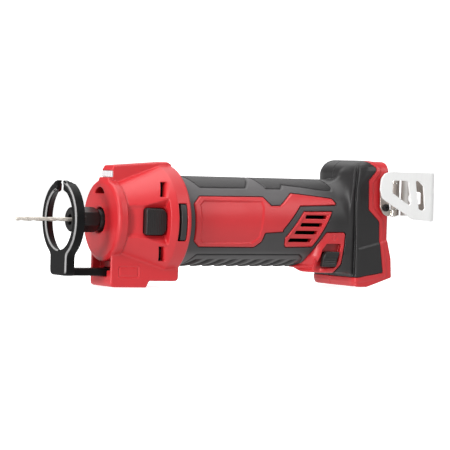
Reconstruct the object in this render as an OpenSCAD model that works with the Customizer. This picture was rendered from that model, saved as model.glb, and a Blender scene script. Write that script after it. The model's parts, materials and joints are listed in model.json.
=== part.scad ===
// Battery powered drywall cut out tool, all lengths in mm.
// X runs along the spindle (bit points to -X, pack dock at +X), Z is up,
// -Y is the side with the switch, the lock button and the hook.
// The origin is the middle of the flat under the nose block.

/* [Overall] */
// Height of the spindle axis above the resting plane
axis_h = 50.5; // [46:0.5:58]
// Radius of the round grip over the rubber
grip_r = 35; // [33:0.5:38]
// Thickness of the rubber cover
rubber_t = 2.2; // [1.6:0.1:3]
// Wall of the moulded shells
wall = 2.6; // [2:0.1:3.2]

/* [Nose] */
// Radius of the front disc
disc_r = 31; // [28:0.5:33]
// Radius of the rear flange of the nose
flange_r = 43; // [40:0.5:46]
// Half width of the light pod
pod_hw = 8.5; // [6:0.5:11]
// Half width of the guide block at its front
block_hw = 16.8; // [16.4:0.1:18]

/* [Depth guide] */
// Outer radius of the guide ring
ring_ro = 29.2; // [27:0.1:30]
// Inner radius of the guide ring
ring_ri = 22.8; // [21:0.1:24]
// Width of the gap at the top of the ring
ring_gap = 11; // [6:0.2:14]
// Half width of the sliding arm
arm_hw = 9; // [7:0.5:11]

/* [Cutting end] */
// Bit diameter
bit_d = 3.2; // [3:0.05:3.2]
// How far the bit stands out in front of the nut
bit_out = 44.8; // [25:0.1:48]

/* [Dock] */
// Width of the pack dock
dock_w = 75; // [72:0.5:80]
// Height of the pack dock
dock_top = 102.5; // [98:0.5:106]

/* [Hook] */
// Sheet thickness of the hook
hook_t = 1.6; // [1.2:0.1:2]

/* [Hidden] */
$fn = 72;
e = 0.1;
H = axis_h;
shell_r = grip_r - rubber_t;
cav_r = shell_r - wall;
x_nose = -12;
x_flange = 42;
x_shell = 42.3;
x_dock = 193;
x_rear = 224.6;
dw = dock_w / 2;
far_r = 27;
pin_x = 226.2;
pin_y = -40.3;
nut_front = -40.3;
screw_at = [[120, H + 23], [120, H - 23], [158, H + 23], [188, H + 24], [201.6, 91], [201.6, 13]];

// ---------- helpers ----------
// cylinder along X, about the spindle axis unless y and z are given
module xc(r, x0, x1, y = 0, z = H)
  translate([x0, y, z]) rotate([0, 90, 0]) cylinder(r = r, h = x1 - x0);
// tube along X
module xt(ro, ri, x0, x1, y = 0, z = H)
  difference() { xc(ro, x0, x1, y, z); xc(ri, x0 - e, x1 + e, y, z); }
// cylinder along Y
module yc(r, y0, y1, x, z)
  translate([x, y0, z]) rotate([-90, 0, 0]) cylinder(r = r, h = y1 - y0);
// cylinder along Z
module zc(r, z0, z1, x, y) translate([x, y, z0]) cylinder(r = r, h = z1 - z0);
// box from its limits
module bx(x0, x1, y0, y1, z0, z1)
  translate([x0, y0, z0]) cube([x1 - x0, y1 - y0, z1 - z0]);
// outline in X and Z carried along Y
module xz(pts, y0, y1)
  translate([0, y1, 0]) rotate([90, 0, 0]) linear_extrude(height = y1 - y0) polygon(pts);
// turned body about the spindle axis, points are [radius, x]
module turned(pts)
  translate([0, 0, H]) rotate([0, 90, 0]) rotate_extrude() polygon(pts);
// row of touching wire rings standing for a close wound spring, along Z
module coil(r, wire, n, pitch)
  for (i = [0 : n - 1]) translate([0, 0, wire + i * pitch])
    rotate_extrude() translate([r, 0]) circle(r = wire, $fn = 24);
// half space on the near side and on the far side
module near_side() bx(-60, 300, -80, 0, -20, 140);
module far_side() bx(-60, 300, 0.02, 80, -20, 140);

// ---------- outlines on the sides ----------
panel_pts = [[58, 70.3], [112, 70.7], [117.7, 64], [126, 64.2], [138.6, 74], [172, 70.8],
  [177, 69], [178, 66.5], [175.7, 65.2], [144, 64.2], [127.7, 45.6], [128, 44], [111.7, 43],
  [109.7, 36], [104.4, 31.8], [58, 31.8], [52.3, 36.4], [51.6, 64.5]];
grille_pts = [[146.6, 60], [173.2, 60.4], [157.2, 32.5], [133.1, 32], [131.2, 34.2], [130.3, 39.2]];
fair_pts = [[152, 16], [155, 12.2], [193.5, 12.2], [193.5, 44], [167.4, 44], [161.5, 34.5], [157.2, 25]];
window_pts = [[168.7, 35], [180.8, 35], [182.1, 34], [179.5, 21.7], [176.3, 16], [161.4, 15.6], [165.1, 30]];
slider_pts = [[165.6, 26.6], [168.2, 29.2], [179.6, 29], [176.4, 17], [163.2, 17]];
cover_pts = [[190, 8.5], [190, 110], [203, 110], [204, 102.4], [212.4, 95.5], [211.5, 93], [204.7, 85.7],
  [205.3, 62.6], [215.5, 53.3], [216, 38.7], [219.8, 12.5], [194, 8.5]];
foot_pts = [[192, 0], [205, 0], [229.6, 8], [228.6, 24], [x_rear, 39], [x_rear, dock_top], [192, dock_top]];

// ---------- nose ----------
module nose_shape() {
  turned([[0, -15.6], [11, -15.6], [disc_r - 2.4, x_nose - 2], [disc_r - 0.7, x_nose - 1], [disc_r, x_nose + 0.4], [disc_r, -6.2],
    [disc_r - 0.8, -5.6], [disc_r - 0.6, -5], [41.5, 26], [flange_r, 30], [flange_r, 40.5],
    [flange_r - 1.2, x_flange], [0, x_flange]]);
  // light pod with a visor
  xz([[-10.2, H + 38.7], [-7.8, H + 41.6], [38, H + 45.3], [41.8, H + 43.4], [41.8, H + 30],
    [-8, H + 26], [-12.8, H + 28], [-12.4, H + 32.4], [-9.3, H + 32.4], [-9.3, H + 38.5]], -pod_hw, pod_hw);
  // guide block and the ledge behind it, wider towards the rear
  intersection() {
    xz([[x_nose, 1.5], [-10.5, 0], [16, 0], [18.6, 5], [40, 5], [41.8, 7], [41.8, H - 33],
      [10, H - 20], [x_nose, H - 20]], -26, 26);
    translate([0, 0, -1]) linear_extrude(height = 40)
      polygon([[x_nose, -block_hw], [x_flange, -block_hw - 7.2], [x_flange, block_hw + 7.2], [x_nose, block_hw]]);
  }
  // neck that the shells close around
  xt(29.9, 27.4, x_flange - 1, 50);
  xt(31.2, 27.4, 45, 47);
}
module nose_cavity() difference() {
  turned([[0, 11], [27, 11], [30, 14], [36.5, 27], [39.8, 31], [39.8, x_flange - 2.4],
    [27.4, x_flange - 2.4], [27.4, 51], [0, 51]]);
  // wall behind the lock pocket
  bx(5, 29.5, -46, -27.5, H - 13.7, H + 13.7);
}
module nose_housing() color([0.62, 0.05, 0.08]) difference() {
  nose_shape();
  nose_cavity();
  // spindle opening, bearing seat, plate seat
  xc(9.6, x_nose - 5, -3.5);
  xc(8.2, -4, 1);
  xc(11.02, 0.5, 12);
  xc(21.2, 8, 12);
  // light pocket under the visor
  bx(-9.5, -2.8, -7, 7, H + 32.5, H + 38.4);
  // guide arm channel, pad pocket and recess over the arm
  bx(x_nose - 1, 23.6, -arm_hw - 0.3, arm_hw + 0.3, 8, 14.2);
  bx(-9.2, -0.8, -4.2, 4.2, 2, 9);
  difference() { bx(x_nose - 3, -5.5, -14.6, 14.6, 13, 24.5); xc(disc_r + 0.3, -20, 10); }
  // lock pocket and button hole
  bx(-8, 26.6, -60, -disc_r, H - 11.2, H + 11.2);
  bx(8, 26, -40, -27, H - 10.3, H + 10.3);
  bx(6.2, 28.2, -27.5, -21, H - 12, H + 12);
  // air slots and windows, both sides
  for (s = [-1, 1]) {
    for (t = [-1, 1]) xz([[19.2, H + t * 18.6], [22.8, H + t * 18.6], [26.6, H + t * 29.8], [23, H + t * 29.8]], min(s * 18, s * 46), max(s * 18, s * 46));
    bx(32.5, 39.8, min(s * 30, s * 50), max(s * 30, s * 50), H - 14, H + 14);
  }
  // air outlet in the disc
  bx(x_nose - 6, 13, -5.2, 9.6, H + 20.2, H + 24.2);
}
module air_baffle() color([0.12, 0.12, 0.13]) {
  xt(39.6, 37.6, 31.6, 39.4);
  intersection() {
    xt(43.3, 38, 32.8, 39.4);
    union() { bx(32, 40, -50, -30, H - 13.7, H + 13.7); bx(32, 40, 30, 50, H - 13.7, H + 13.7); }
  }
}
module led_lens() color([0.92, 0.94, 0.95, 0.6]) {
  bx(-9.9, -5, -6.9, 6.9, H + 32.6, H + 38.3);
  bx(-9.9, -9.4, -pod_hw + 0.1, pod_hw - 0.1, H + 32.6, H + 38.3);
  for (i = [0 : 12]) zc(0.5, H + 32.7, H + 38.2, -9.85, -7.5 + i * 1.25);
}
module led_board() color([0.1, 0.35, 0.15]) {
  bx(-4.6, -3, -6.5, 6.5, H + 32.6, H + 38.2);
  for (s = [-3, 3]) bx(-4.95, -4.5, s - 1.2, s + 1.2, H + 34.2, H + 36.6);
}

// ---------- shells and rubber ----------
// dock block, i is how far the front, the sides and the top lie inside
module dock_plan(i) {
  // small front corner on the switch side, large one on the far side
  bx(x_dock + 9, 230, -dw + i, 0, -1, 110);
  bx(x_dock + far_r, 230, -1, dw - i, -1, 110);
  bx(x_dock + i, 230, -dw + 9, dw - far_r, -1, 110);
  zc(9 - i, -1, 110, x_dock + 9, -dw + 9);
  zc(far_r - i, -1, 110, x_dock + far_r, dw - far_r);
}
module dock_crown(i) {
  bx(180, 235, -dw + i, dw - i, -1, dock_top - 13);
  bx(180, 235, -dw + 13, dw - 13, -1, dock_top - i);
  for (s = [-1, 1]) xc(13 - i, 180, 235, s * (dw - 13), dock_top - 13);
}
module dock(i) intersection() {
  dock_plan(i);
  dock_crown(i);
  xz(foot_pts, -50, 50);
}
module cover_zone() xz(cover_pts, -50, 50);
module fairing(i) xz(fair_pts, -34 + i, 0);
module panel_prisms() for (s = [0, 1]) {
  xz(panel_pts, s * 68 - 60, s * 68 - 8);
  xz(grille_pts, s * 68 - 60, s * 68 - 8);
}
// raised panel and grille, both sides
module panel(g) intersection() {
  xt(grip_r - 0.2 + g, shell_r - 1, 44, 190);
  panel_prisms();
}
module vent_slots() for (i = [0 : 3]) for (s = [-1, 1])
  xz([[133.6 + i * 4.6, 36.2 + i * 6.1], [154 + i * 4.2, 36.2 + i * 6.1],
      [155.4 + i * 4.2, 39 + i * 6.1], [134.9 + i * 4.6, 39 + i * 6.1]],
     s > 0 ? 20 : -45, s > 0 ? 45 : -20);
module shell_outer() {
  xc(shell_r, x_shell, 197);
  dock(rubber_t);
  difference() { dock(0); cover_zone(); }
  fairing(0);
  panel(0);
}
module shell_cavity() {
  difference() {
    xc(cav_r, 40, 199);
    // ribs that hold the motor
    xt(cav_r + 1, 25.6, 60, 62.5);
    xt(cav_r + 1, 25.6, 90, 92.5);
  }
  // groove for the neck of the nose
  xc(31.5, 44.8, 47.3);
  // lower corners beside the switch
  difference() {
    xz([[158.6, 15], [196, 15], [196, 42], [169.5, 42], [163.8, 33], [159.2, 24]], -31.4, -3);
    xc(cav_r - 1, 140, 200);
  }
  // dock inside
  intersection() { dock_plan(rubber_t + wall); dock_crown(rubber_t + wall); bx(190, 206.4, -40, 40, 3, 110); }
}
// channel for the pack with two lips
module pack_channel() difference() {
  bx(209, 240, -29, 29, -2, 92);
  for (s = [-1, 1]) bx(216.5, 220.5, min(s * 24.5, s * 30), max(s * 24.5, s * 30), 2, 88);
}
module bosses() for (p = screw_at) yc(3.3, -33, 33, p[0], p[1]);
module shell() {
  difference() {
    union() {
      difference() { shell_outer(); shell_cavity(); }
      // screw posts inside the shell
      intersection() {
        bosses();
        union() { xc(cav_r + 0.5, 44, 199); intersection() { dock_plan(3); dock_crown(3); bx(190, 206, -40, 40, 2, 110); } }
      }
    }
    pack_channel();
    // terminal window in the dock floor
    bx(200, 215, -13.2, 13.2, 61.8, 82.2);
    vent_slots();
    // bracket screws
    for (z = [64.4, 83]) yc(1.62, -50, -28.4, 219.1, z);
  }
}
module screw_ways() for (p = screw_at) {
  yc(1.52, -16, 40, p[0], p[1]);
  yc(3.1, 17.8, 60, p[0], p[1]);
}
module housing_left() color([0.66, 0.05, 0.08]) difference() {
  intersection() { shell(); near_side(); }
  xz(window_pts, -60, -28);
  screw_ways();
}
module housing_right() color([0.66, 0.05, 0.08]) difference() {
  intersection() { shell(); far_side(); }
  screw_ways();
}
module cover() difference() {
  union() {
    xt(grip_r, shell_r + 0.05, x_shell, x_dock + 0.5);
    difference() {
      intersection() { dock(0); cover_zone(); }
      dock(rubber_t - 0.05);
    }
  }
  xc(shell_r + 0.05, 40, 200);
  fairing(-0.15);
  panel_prisms();
  vent_slots();
  screw_ways();
}
module grip_left() color([0.2, 0.2, 0.21]) intersection() { cover(); near_side(); }
module grip_right() color([0.2, 0.2, 0.21]) intersection() { cover(); far_side(); }
module housing_screws() color([0.2, 0.2, 0.2]) for (p = screw_at) difference() {
  union() {
    yc(1.5, -15, 18.2, p[0], p[1]);
    yc(2.9, 18, 20.4, p[0], p[1]);
  }
  yc(1.3, 19, 21, p[0], p[1]);
}

// ---------- depth guide ----------
module depth_guide() color([0.05, 0.05, 0.055]) {
  difference() {
    union() {
      xc(ring_ro, -49.4, -41.4);
      bx(-49.4, -41.4, -13.4, 13.4, 13, H - 20);
      bx(-49.4, -41.4, -8.9, 8.9, 8.3, 14);
      for (s = [-1, 1]) xc(4.7, -49.4, -41.4, s * 8.7, 13);
    }
    xc(ring_ri, -50, -40);
    bx(-50, -40, -ring_gap / 2, ring_gap / 2, H + 12, H + 40);
  }
  // thicker ends beside the gap
  for (s = [-1, 1]) intersection() {
    xt(ring_ro, ring_ri - 2.6, -49.4, -41.4);
    bx(-50, -40, min(s * ring_gap / 2, s * (ring_gap / 2 + 4)), max(s * ring_gap / 2, s * (ring_gap / 2 + 4)), H + 10, H + 40);
  }
  // arm and the corner web
  bx(-42.5, 10, -arm_hw, arm_hw, 8.3, 13.9);
  xz([[-41.9, 13.5], [-36.4, 13.5], [-39.7, 15.2], [-41.4, 19], [-41.9, 19]], -arm_hw, arm_hw);
}
module guide_pad() color([0.75, 0.75, 0.7]) bx(-9, -1, -4, 4, 5.5, 8.25);
module guide_spring() color([0.6, 0.6, 0.62]) translate([-5, 0, 2.05]) coil(2.6, 0.4, 5, 0.66);

// ---------- spindle lock ----------
module lock_button() color([0.05, 0.05, 0.055]) difference() {
  union() {
    bx(8.3, 25.7, -35.4, -26, H - 10, H + 10);
    bx(6.6, 27.6, -27.2, -25.8, H - 11.6, H + 11.6);
    for (i = [0 : 7]) bx(9.4 + i * 1.9, 10.6 + i * 1.9, -36, -35, H - 9, H + 9);
  }
  yc(2.02, -31, -20, 17, H);
}
module lock_plunger() color([0.7, 0.7, 0.72]) union() { yc(2, -30.8, -10.6, 17, H); yc(1.7, -10.7, -10, 17, H); }
module lock_spring() color([0.6, 0.6, 0.62])
  translate([17, -25.75, H]) rotate([-90, 0, 0]) coil(3, 0.45, 8, 0.885);

// ---------- switch ----------
module switch_slider() color([0.1, 0.1, 0.105]) {
  xz(slider_pts, -36.2, -29.4);
  for (i = [0 : 4]) xz([[164 + i * 0.55, 18.2 + i * 2.1], [177 + i * 0.55, 18.2 + i * 2.1], [177.2 + i * 0.55, 19 + i * 2.1], [164.2 + i * 0.55, 19 + i * 2.1]], -36.9, -36);
  xz([[160, 12 + 3.3], [178.5, 15.3], [181.5, 29.3], [163.6, 29.3]], -31, -29.3);
}
module switch_link() color([0.7, 0.7, 0.72]) {
  bx(166, 174, -29.25, -27.8, 20, 26);
  bx(168, 172, -28, -26.3, 21, 25);
}

// ---------- hook ----------
hole_a = [[216.4, 85.9], [230.8, 86.3], [234.3, 68.9], [232.4, 66.9], [216.2, 76.6]];
hole_b = [[238.1, 86.1], [240.6, 86.5], [245.6, 82.6], [247.6, 64.3], [245.2, 62.6], [241.7, 64.2], [239.4, 78]];
leg_pts = [[213.4, 93.2], [252.4, 93.2], [252.4, 54.3], [235.7, 55.9], [228.7, 60.3], [219.9, 64.6],
  [207.2, 71.6], [204.7, 78.8], [205.6, 87.4], [208.6, 91.3]];
module hang_hook() color([0.8, 0.8, 0.82]) {
  difference() {
    union() {
      // outer leg
      difference() { xz(leg_pts, -53, -53 + hook_t); xz(hole_a, -60, -50); xz(hole_b, -60, -50); }
      // inner leg with its slot and hole
      difference() {
        bx(pin_x, 252.4, -41.1, -41.1 + hook_t, 58.4, 91);
        bx(230.8, 233.2, -45, -35, 50, 87);
        bx(244.4, 249.6, -45, -35, 67.5, 77.5);
        yc(5, -45, -35, 244.6, 72.5);
        yc(5, -45, -35, 249.4, 72.5);
      }
      // fold
      intersection() {
        difference() { zc(6.75, 54.3, 93.2, 252.4, -46.25); zc(6.75 - hook_t, 50, 97, 252.4, -46.25); }
        bx(252.3, 265, -60, -30, 50, 97);
      }
      zc(2.6, 63.4, 83.6, pin_x, pin_y);
    }
    zc(1.46, 50, 95, pin_x, pin_y);
    bx(pin_x - 3, pin_x + 3.2, -45, -36, 50, 63.4);
    bx(pin_x - 3, pin_x + 3.2, -45, -36, 83.6, 95);
  }
}
module hook_bracket() color([0.75, 0.75, 0.77]) difference() {
  union() {
    xz([[214, 74], [214.1, 64.5], [217, 59.5], [220, 57.8], [224, 57.8], [224, 90], [217, 90], [214, 87]], -39.4, -37.7);
    for (z = [57.8, 83.9]) {
      zc(2.6, z, z + 5.3, pin_x, pin_y);
      bx(221, pin_x, -39.4, -37.7, z, z + 5.3);
    }
  }
  zc(1.42, 50, 95, pin_x, pin_y);
  bx(222.6, 230, -45, -36, 63.1, 83.9);
  for (z = [64.4, 83]) yc(1.8, -50, -30, 219.1, z);
}
module hook_screws() color([0.3, 0.3, 0.31]) for (z = [64.4, 83]) difference() {
  union() { yc(1.6, -39.6, -28.5, 219.1, z); yc(3, -41.2, -39.45, 219.1, z); }
  yc(1.3, -42, -40.2, 219.1, z);
}
module hook_pin() color([0.65, 0.65, 0.67]) zc(1.4, 57.4, 89.6, pin_x, pin_y);

// ---------- cutting end ----------
module cutting_bit() color([0.75, 0.75, 0.77]) {
  xc(bit_d / 2, nut_front + 1, -16);
  xc(bit_d / 2 - 0.05, nut_front - bit_out + 2, nut_front + 1.2);
  turned([[0, nut_front - bit_out], [0.4, nut_front - bit_out], [bit_d / 2 - 0.05, nut_front - bit_out + 2.1], [0, nut_front - bit_out + 2.1]]);
}
module collet() color([0.6, 0.6, 0.62]) difference() {
  turned([[bit_d / 2 + 0.02, -38], [3.5, -38], [4.9, -35.4], [4.9, -34.6], [4.1, -33], [2.85, -17.4], [bit_d / 2 + 0.02, -17.4]]);
  for (a = [0, 90]) translate([0, 0, H]) rotate([a, 0, 0]) translate([-42, -0.25, -8]) cube([21, 0.5, 16]);
}
module collet_nut() color([0.06, 0.06, 0.065]) difference() {
  union() {
    xc(9.4, nut_front + 1, -31);
    turned([[0, nut_front], [8.2, nut_front], [9.4, nut_front + 1.1], [0, nut_front + 1.1]]);
    translate([-31.2, 0, H]) rotate([0, 90, 0]) rotate([0, 0, 6]) cylinder(r = 9.7, h = 12.8, $fn = 6);
  }
  turned([[0, -41], [3.9, -41], [3.9, -38.6], [5.1, -35.6], [5.1, -34], [6.08, -33.4], [6.08, -17], [0, -17]]);
}
module armature_shaft() color([0.72, 0.72, 0.74]) {
  turned([[4.3, -33], [6, -33], [6, -18.1], [8.3, -18.1], [8.3, -4.2], [5.5, -4.2], [5.5, 0.4], [4, 0.4],
    [4, 104.5], [3, 104.5], [3, 116], [0, 116], [0, -14], [2.2, -14], [3.0, -17]]);
}
module lock_collar() color([0.5, 0.5, 0.52]) difference() {
  xt(9, 4.02, 12.5, 21.5);
  for (a = [0 : 90 : 270]) translate([0, 0, H]) rotate([a, 0, 0]) yc(2.4, 4.6, 12, 17, 0);
}
module cooling_fan() color([0.15, 0.15, 0.16]) difference() {
  union() {
    xc(9, 30.6, 38.4);
    xc(33, 30.6, 32);
    for (i = [0 : 10]) translate([0, 0, H]) rotate([i * 360 / 11, 0, 0]) bx(31.5, 38, -0.7, 0.7, 8, 32.6);
  }
  xc(4.02, 30, 40);
}
module armature_core() color([0.35, 0.35, 0.36]) difference() {
  xt(19.2, 4.02, 55, 91);
  for (i = [0 : 11]) translate([0, 0, H]) rotate([i * 30, 0, 0]) {
    translate([54, 0, 14.8]) rotate([0, 90, 0]) cylinder(r = 2.4, h = 38);
    bx(54, 92, -0.8, 0.8, 15, 20);
  }
}
module armature_windings() color([0.65, 0.3, 0.12]) {
  xt(17.4, 6, 48.5, 54.9);
  xt(17.4, 6, 91.1, 96);
  for (i = [0 : 11]) translate([0, 0, H]) rotate([i * 30, 0, 0])
    translate([54.5, 0, 14.8]) rotate([0, 90, 0]) cylinder(r = 2.25, h = 37);
}
module commutator() color([0.7, 0.4, 0.2]) difference() {
  xt(9, 4.02, 96.1, 103.2);
  for (i = [0 : 11]) translate([0, 0, H]) rotate([i * 30 + 15, 0, 0]) bx(97.5, 104, -0.3, 0.3, 8, 10);
}
module front_bearing_inner() color([0.7, 0.7, 0.72]) xt(5.7, 4.01, 0.5, 7.5);
module rear_bearing_inner() color([0.7, 0.7, 0.72]) xt(4.6, 3.01, 108.6, 114.4);
module front_bearing_outer() color([0.65, 0.65, 0.67]) xt(11, 9.3, 0.5, 7.5);
module rear_bearing_outer() color([0.65, 0.65, 0.67]) xt(9.5, 7.9, 108.6, 114.4);
module front_bearing_balls() color([0.8, 0.8, 0.82])
  for (i = [0 : 7]) translate([4, 0, H]) rotate([i * 45, 0, 0]) translate([0, 7.5, 0]) sphere(r = 1.75, $fn = 40);
module rear_bearing_balls() color([0.8, 0.8, 0.82])
  for (i = [0 : 7]) translate([111.5, 0, H]) rotate([i * 45, 0, 0]) translate([0, 6.25, 0]) sphere(r = 1.6, $fn = 40);

// ---------- stationary drive parts ----------
module bearing_plate() color([0.55, 0.55, 0.57]) difference() {
  union() {
    xc(21, 8.05, 10.6);
    bx(10, 22, -18.6, -15.2, H - 5, H + 5);
  }
  xc(9.6, 7, 23);
  yc(2.05, -30, -10, 17, H);
}
module motor_can() color([0.5, 0.5, 0.52]) difference() {
  union() { xt(25.5, 23.9, 45, 104); xt(25.4, 10, 45, 46.6); }
  for (i = [0 : 5]) translate([0, 0, H]) rotate([i * 60 + 30, 0, 0]) xc(3, 40, 50, 16.5, 0);
}
module motor_magnets() color([0.25, 0.25, 0.27]) difference() {
  xt(23.85, 20, 53, 93);
  bx(50, 96, -30, 30, H - 5, H + 5);
}
module motor_end_cap() color([0.15, 0.15, 0.16]) difference() {
  union() { xc(25.5, 104.1, 108); xc(12.5, 107, 114.6); }
  xc(9.52, 108.5, 116);
  xc(5, 100, 116);
  for (s = [-1, 1]) xc(3.4, 100, 110, s * 17, H);
}
module brush_holders() color([0.75, 0.6, 0.25]) for (s = [0, 180]) translate([0, 0, H]) rotate([s, 0, 0]) difference() {
  bx(97.6, 104, -3.9, 3.9, 10.6, 21.6);
  bx(98.5, 103, -3, 3, 10, 20.8);
}
module carbon_brushes() color([0.12, 0.12, 0.12]) for (s = [0, 180]) translate([0, 0, H]) rotate([s, 0, 0])
  bx(98.7, 102.8, -2.8, 2.8, 9.1, 16.8);
module brush_springs() color([0.6, 0.6, 0.62]) for (s = [0, 180]) translate([0, 0, H]) rotate([s, 0, 0])
  translate([100.75, 0, 16.9]) coil(1.5, 0.35, 6, 0.6);

// ---------- electrics ----------
module switch_body() color([0.1, 0.1, 0.1]) bx(166.6, 182, -26, -12, 18, 38);
module control_board() color([0.08, 0.3, 0.15]) bx(128, 186, 2, 3.6, H - 17, H + 17);
module board_parts() color([0.2, 0.2, 0.22]) {
  yc(6, -16, 1.95, 150, H + 8);
  bx(160, 180, -6, 1.95, H + 2, H + 15);
  bx(132, 140, -2, 1.95, H - 14, H - 2);
}
module terminal_block() color([0.08, 0.08, 0.085]) difference() {
  union() {
    bx(200.1, 211, -13, 13, 62, 82);
    bx(199, 206.3, -15.5, 15.5, 60, 84);
  }
  for (y = [-9, -3, 3, 9]) bx(203, 212, y - 0.42, y + 0.42, 64.8, 79.2);
}
module terminal_blades() color([0.8, 0.7, 0.5]) for (y = [-9, -3, 3, 9]) bx(203.1, 217.5, y - 0.4, y + 0.4, 65, 79);
module power_leads() color([0.5, 0.06, 0.06]) {
  for (z = [H + 11.5, H + 15.5]) xc(1.2, 186.1, 198.9, 2.8, z);
  for (z = [H - 14.5, H + 14.5]) xc(1.2, 108.2, 127.9, 2.8, z);
}

nose_housing();
air_baffle();
led_lens();
led_board();
housing_left();
housing_right();
grip_left();
grip_right();
housing_screws();
depth_guide();
guide_pad();
guide_spring();
lock_button();
lock_plunger();
lock_spring();
switch_slider();
switch_link();
hang_hook();
hook_bracket();
hook_screws();
hook_pin();
cutting_bit();
collet();
collet_nut();
armature_shaft();
lock_collar();
cooling_fan();
armature_core();
armature_windings();
commutator();
front_bearing_inner();
rear_bearing_inner();
front_bearing_outer();
front_bearing_balls();
rear_bearing_outer();
rear_bearing_balls();
bearing_plate();
motor_can();
motor_magnets();
motor_end_cap();
brush_holders();
carbon_brushes();
brush_springs();
switch_body();
control_board();
board_parts();
terminal_block();
terminal_blades();
power_leads();
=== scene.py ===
import json
import math

import bpy
import numpy as np
from mathutils import Matrix, Vector


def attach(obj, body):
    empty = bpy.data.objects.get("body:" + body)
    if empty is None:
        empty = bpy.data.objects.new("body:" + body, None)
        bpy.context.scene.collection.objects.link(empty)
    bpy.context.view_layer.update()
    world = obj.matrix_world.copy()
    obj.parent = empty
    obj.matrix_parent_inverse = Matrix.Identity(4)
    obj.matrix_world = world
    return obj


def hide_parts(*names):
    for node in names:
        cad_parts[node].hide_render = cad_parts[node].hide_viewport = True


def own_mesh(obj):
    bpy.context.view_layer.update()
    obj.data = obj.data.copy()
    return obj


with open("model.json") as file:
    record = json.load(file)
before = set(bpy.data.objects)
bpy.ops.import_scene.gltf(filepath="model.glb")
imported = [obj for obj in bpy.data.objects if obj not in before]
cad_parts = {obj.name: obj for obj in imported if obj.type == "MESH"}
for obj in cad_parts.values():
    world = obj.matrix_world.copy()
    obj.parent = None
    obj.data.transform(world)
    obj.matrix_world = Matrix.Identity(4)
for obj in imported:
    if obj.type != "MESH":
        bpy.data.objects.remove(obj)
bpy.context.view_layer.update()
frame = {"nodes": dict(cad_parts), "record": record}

nodes = frame["nodes"]
H = 50.5                      # spindle height, mm (all shapes below are written in mm)

# ---------------------------------------------------------------- distance field tools


class Grid:
    def __init__(self, lo, hi, h):
        self.lo = np.array(lo, float)
        self.h = float(h)
        n = np.ceil((np.array(hi, float) - self.lo) / h).astype(int) + 1
        self.n = n
        f = np.float32
        self.X = (self.lo[0] + h * np.arange(n[0])).astype(f)[:, None, None]
        self.Y = (self.lo[1] + h * np.arange(n[1])).astype(f)[None, :, None]
        self.Z = (self.lo[2] + h * np.arange(n[2])).astype(f)[None, None, :]


def smin(a, b, k):
    h = np.maximum(k - np.abs(a - b), 0) / k
    return np.minimum(a, b) - h * h * (k * 0.25)


def smax(a, b, k):
    h = np.maximum(k - np.abs(a - b), 0) / k
    return np.maximum(a, b) + h * h * (k * 0.25)


def box(X, Y, Z, x0, x1, y0, y1, z0, z1, r=0.0):
    qx = np.abs(X - (x0 + x1) / 2) - ((x1 - x0) / 2 - r)
    qy = np.abs(Y - (y0 + y1) / 2) - ((y1 - y0) / 2 - r)
    qz = np.abs(Z - (z0 + z1) / 2) - ((z1 - z0) / 2 - r)
    out = np.sqrt(np.maximum(qx, 0) ** 2 + np.maximum(qy, 0) ** 2 + np.maximum(qz, 0) ** 2)
    return out + np.minimum(np.maximum(np.maximum(qx, qy), qz), 0) - r


def rect(P, Q, p0, p1, q0, q1, r=0.0):
    a = np.abs(P - (p0 + p1) / 2) - ((p1 - p0) / 2 - r)
    b = np.abs(Q - (q0 + q1) / 2) - ((q1 - q0) / 2 - r)
    return np.sqrt(np.maximum(a, 0) ** 2 + np.maximum(b, 0) ** 2) + np.minimum(np.maximum(a, b), 0) - r


def slab(d2, A, a0, a1, r=0.0):
    """2D field d2 carried along A from a0 to a1, edges rounded by r."""
    u = d2 + r
    w = np.abs(A - (a0 + a1) / 2) - ((a1 - a0) / 2 - r)
    return np.minimum(np.maximum(u, w), 0) + np.sqrt(np.maximum(u, 0) ** 2 + np.maximum(w, 0) ** 2) - r


def fillet(pts, radii, n=5):
    """Polygon with its corners rounded; radii is one number or one per corner."""
    pts = [np.array(p, float) for p in pts]
    m = len(pts)
    if not hasattr(radii, "__len__"):
        radii = [radii] * m
    out = []
    for i in range(m):
        p, a, b = pts[i], pts[i - 1], pts[(i + 1) % m]
        va, vb = a - p, b - p
        la, lb = np.linalg.norm(va), np.linalg.norm(vb)
        va, vb = va / la, vb / lb
        cosang = float(np.clip(va @ vb, -0.9999, 0.9999))
        half = math.acos(cosang) / 2
        r = radii[i]
        t = min(r / math.tan(half), 0.48 * la, 0.48 * lb)
        if t < 0.02:
            out.append(p)
            continue
        p0, p1 = p + va * t, p + vb * t
        for j in range(n + 1):
            s = j / n
            out.append((1 - s) ** 2 * p0 + 2 * s * (1 - s) * p + s * s * p1)
    return np.array(out)


def poly(P, Q, pts):
    """Signed distance to a polygon, negative inside."""
    pts = np.asarray(pts, float)
    d = None
    sign = None
    for i in range(len(pts)):
        ax, ay = pts[i]
        bx, by = pts[i - 1]
        ex, ey = bx - ax, by - ay
        wx, wy = P - np.float32(ax), Q - np.float32(ay)
        L = ex * ex + ey * ey
        if L < 1e-12:
            continue
        t = np.clip((wx * np.float32(ex) + wy * np.float32(ey)) / np.float32(L), 0, 1)
        dx, dy = wx - np.float32(ex) * t, wy - np.float32(ey) * t
        dd = dx * dx + dy * dy
        d = dd if d is None else np.minimum(d, dd)
        c1 = Q >= ay
        c2 = Q < by
        c3 = (np.float32(ex) * wy) > (np.float32(ey) * wx)
        flip = (c1 & c2 & c3) | (~c1 & ~c2 & ~c3)
        s = np.where(flip, np.float32(-1), np.float32(1))
        sign = s if sign is None else sign * s
    return sign * np.sqrt(d)


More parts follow.
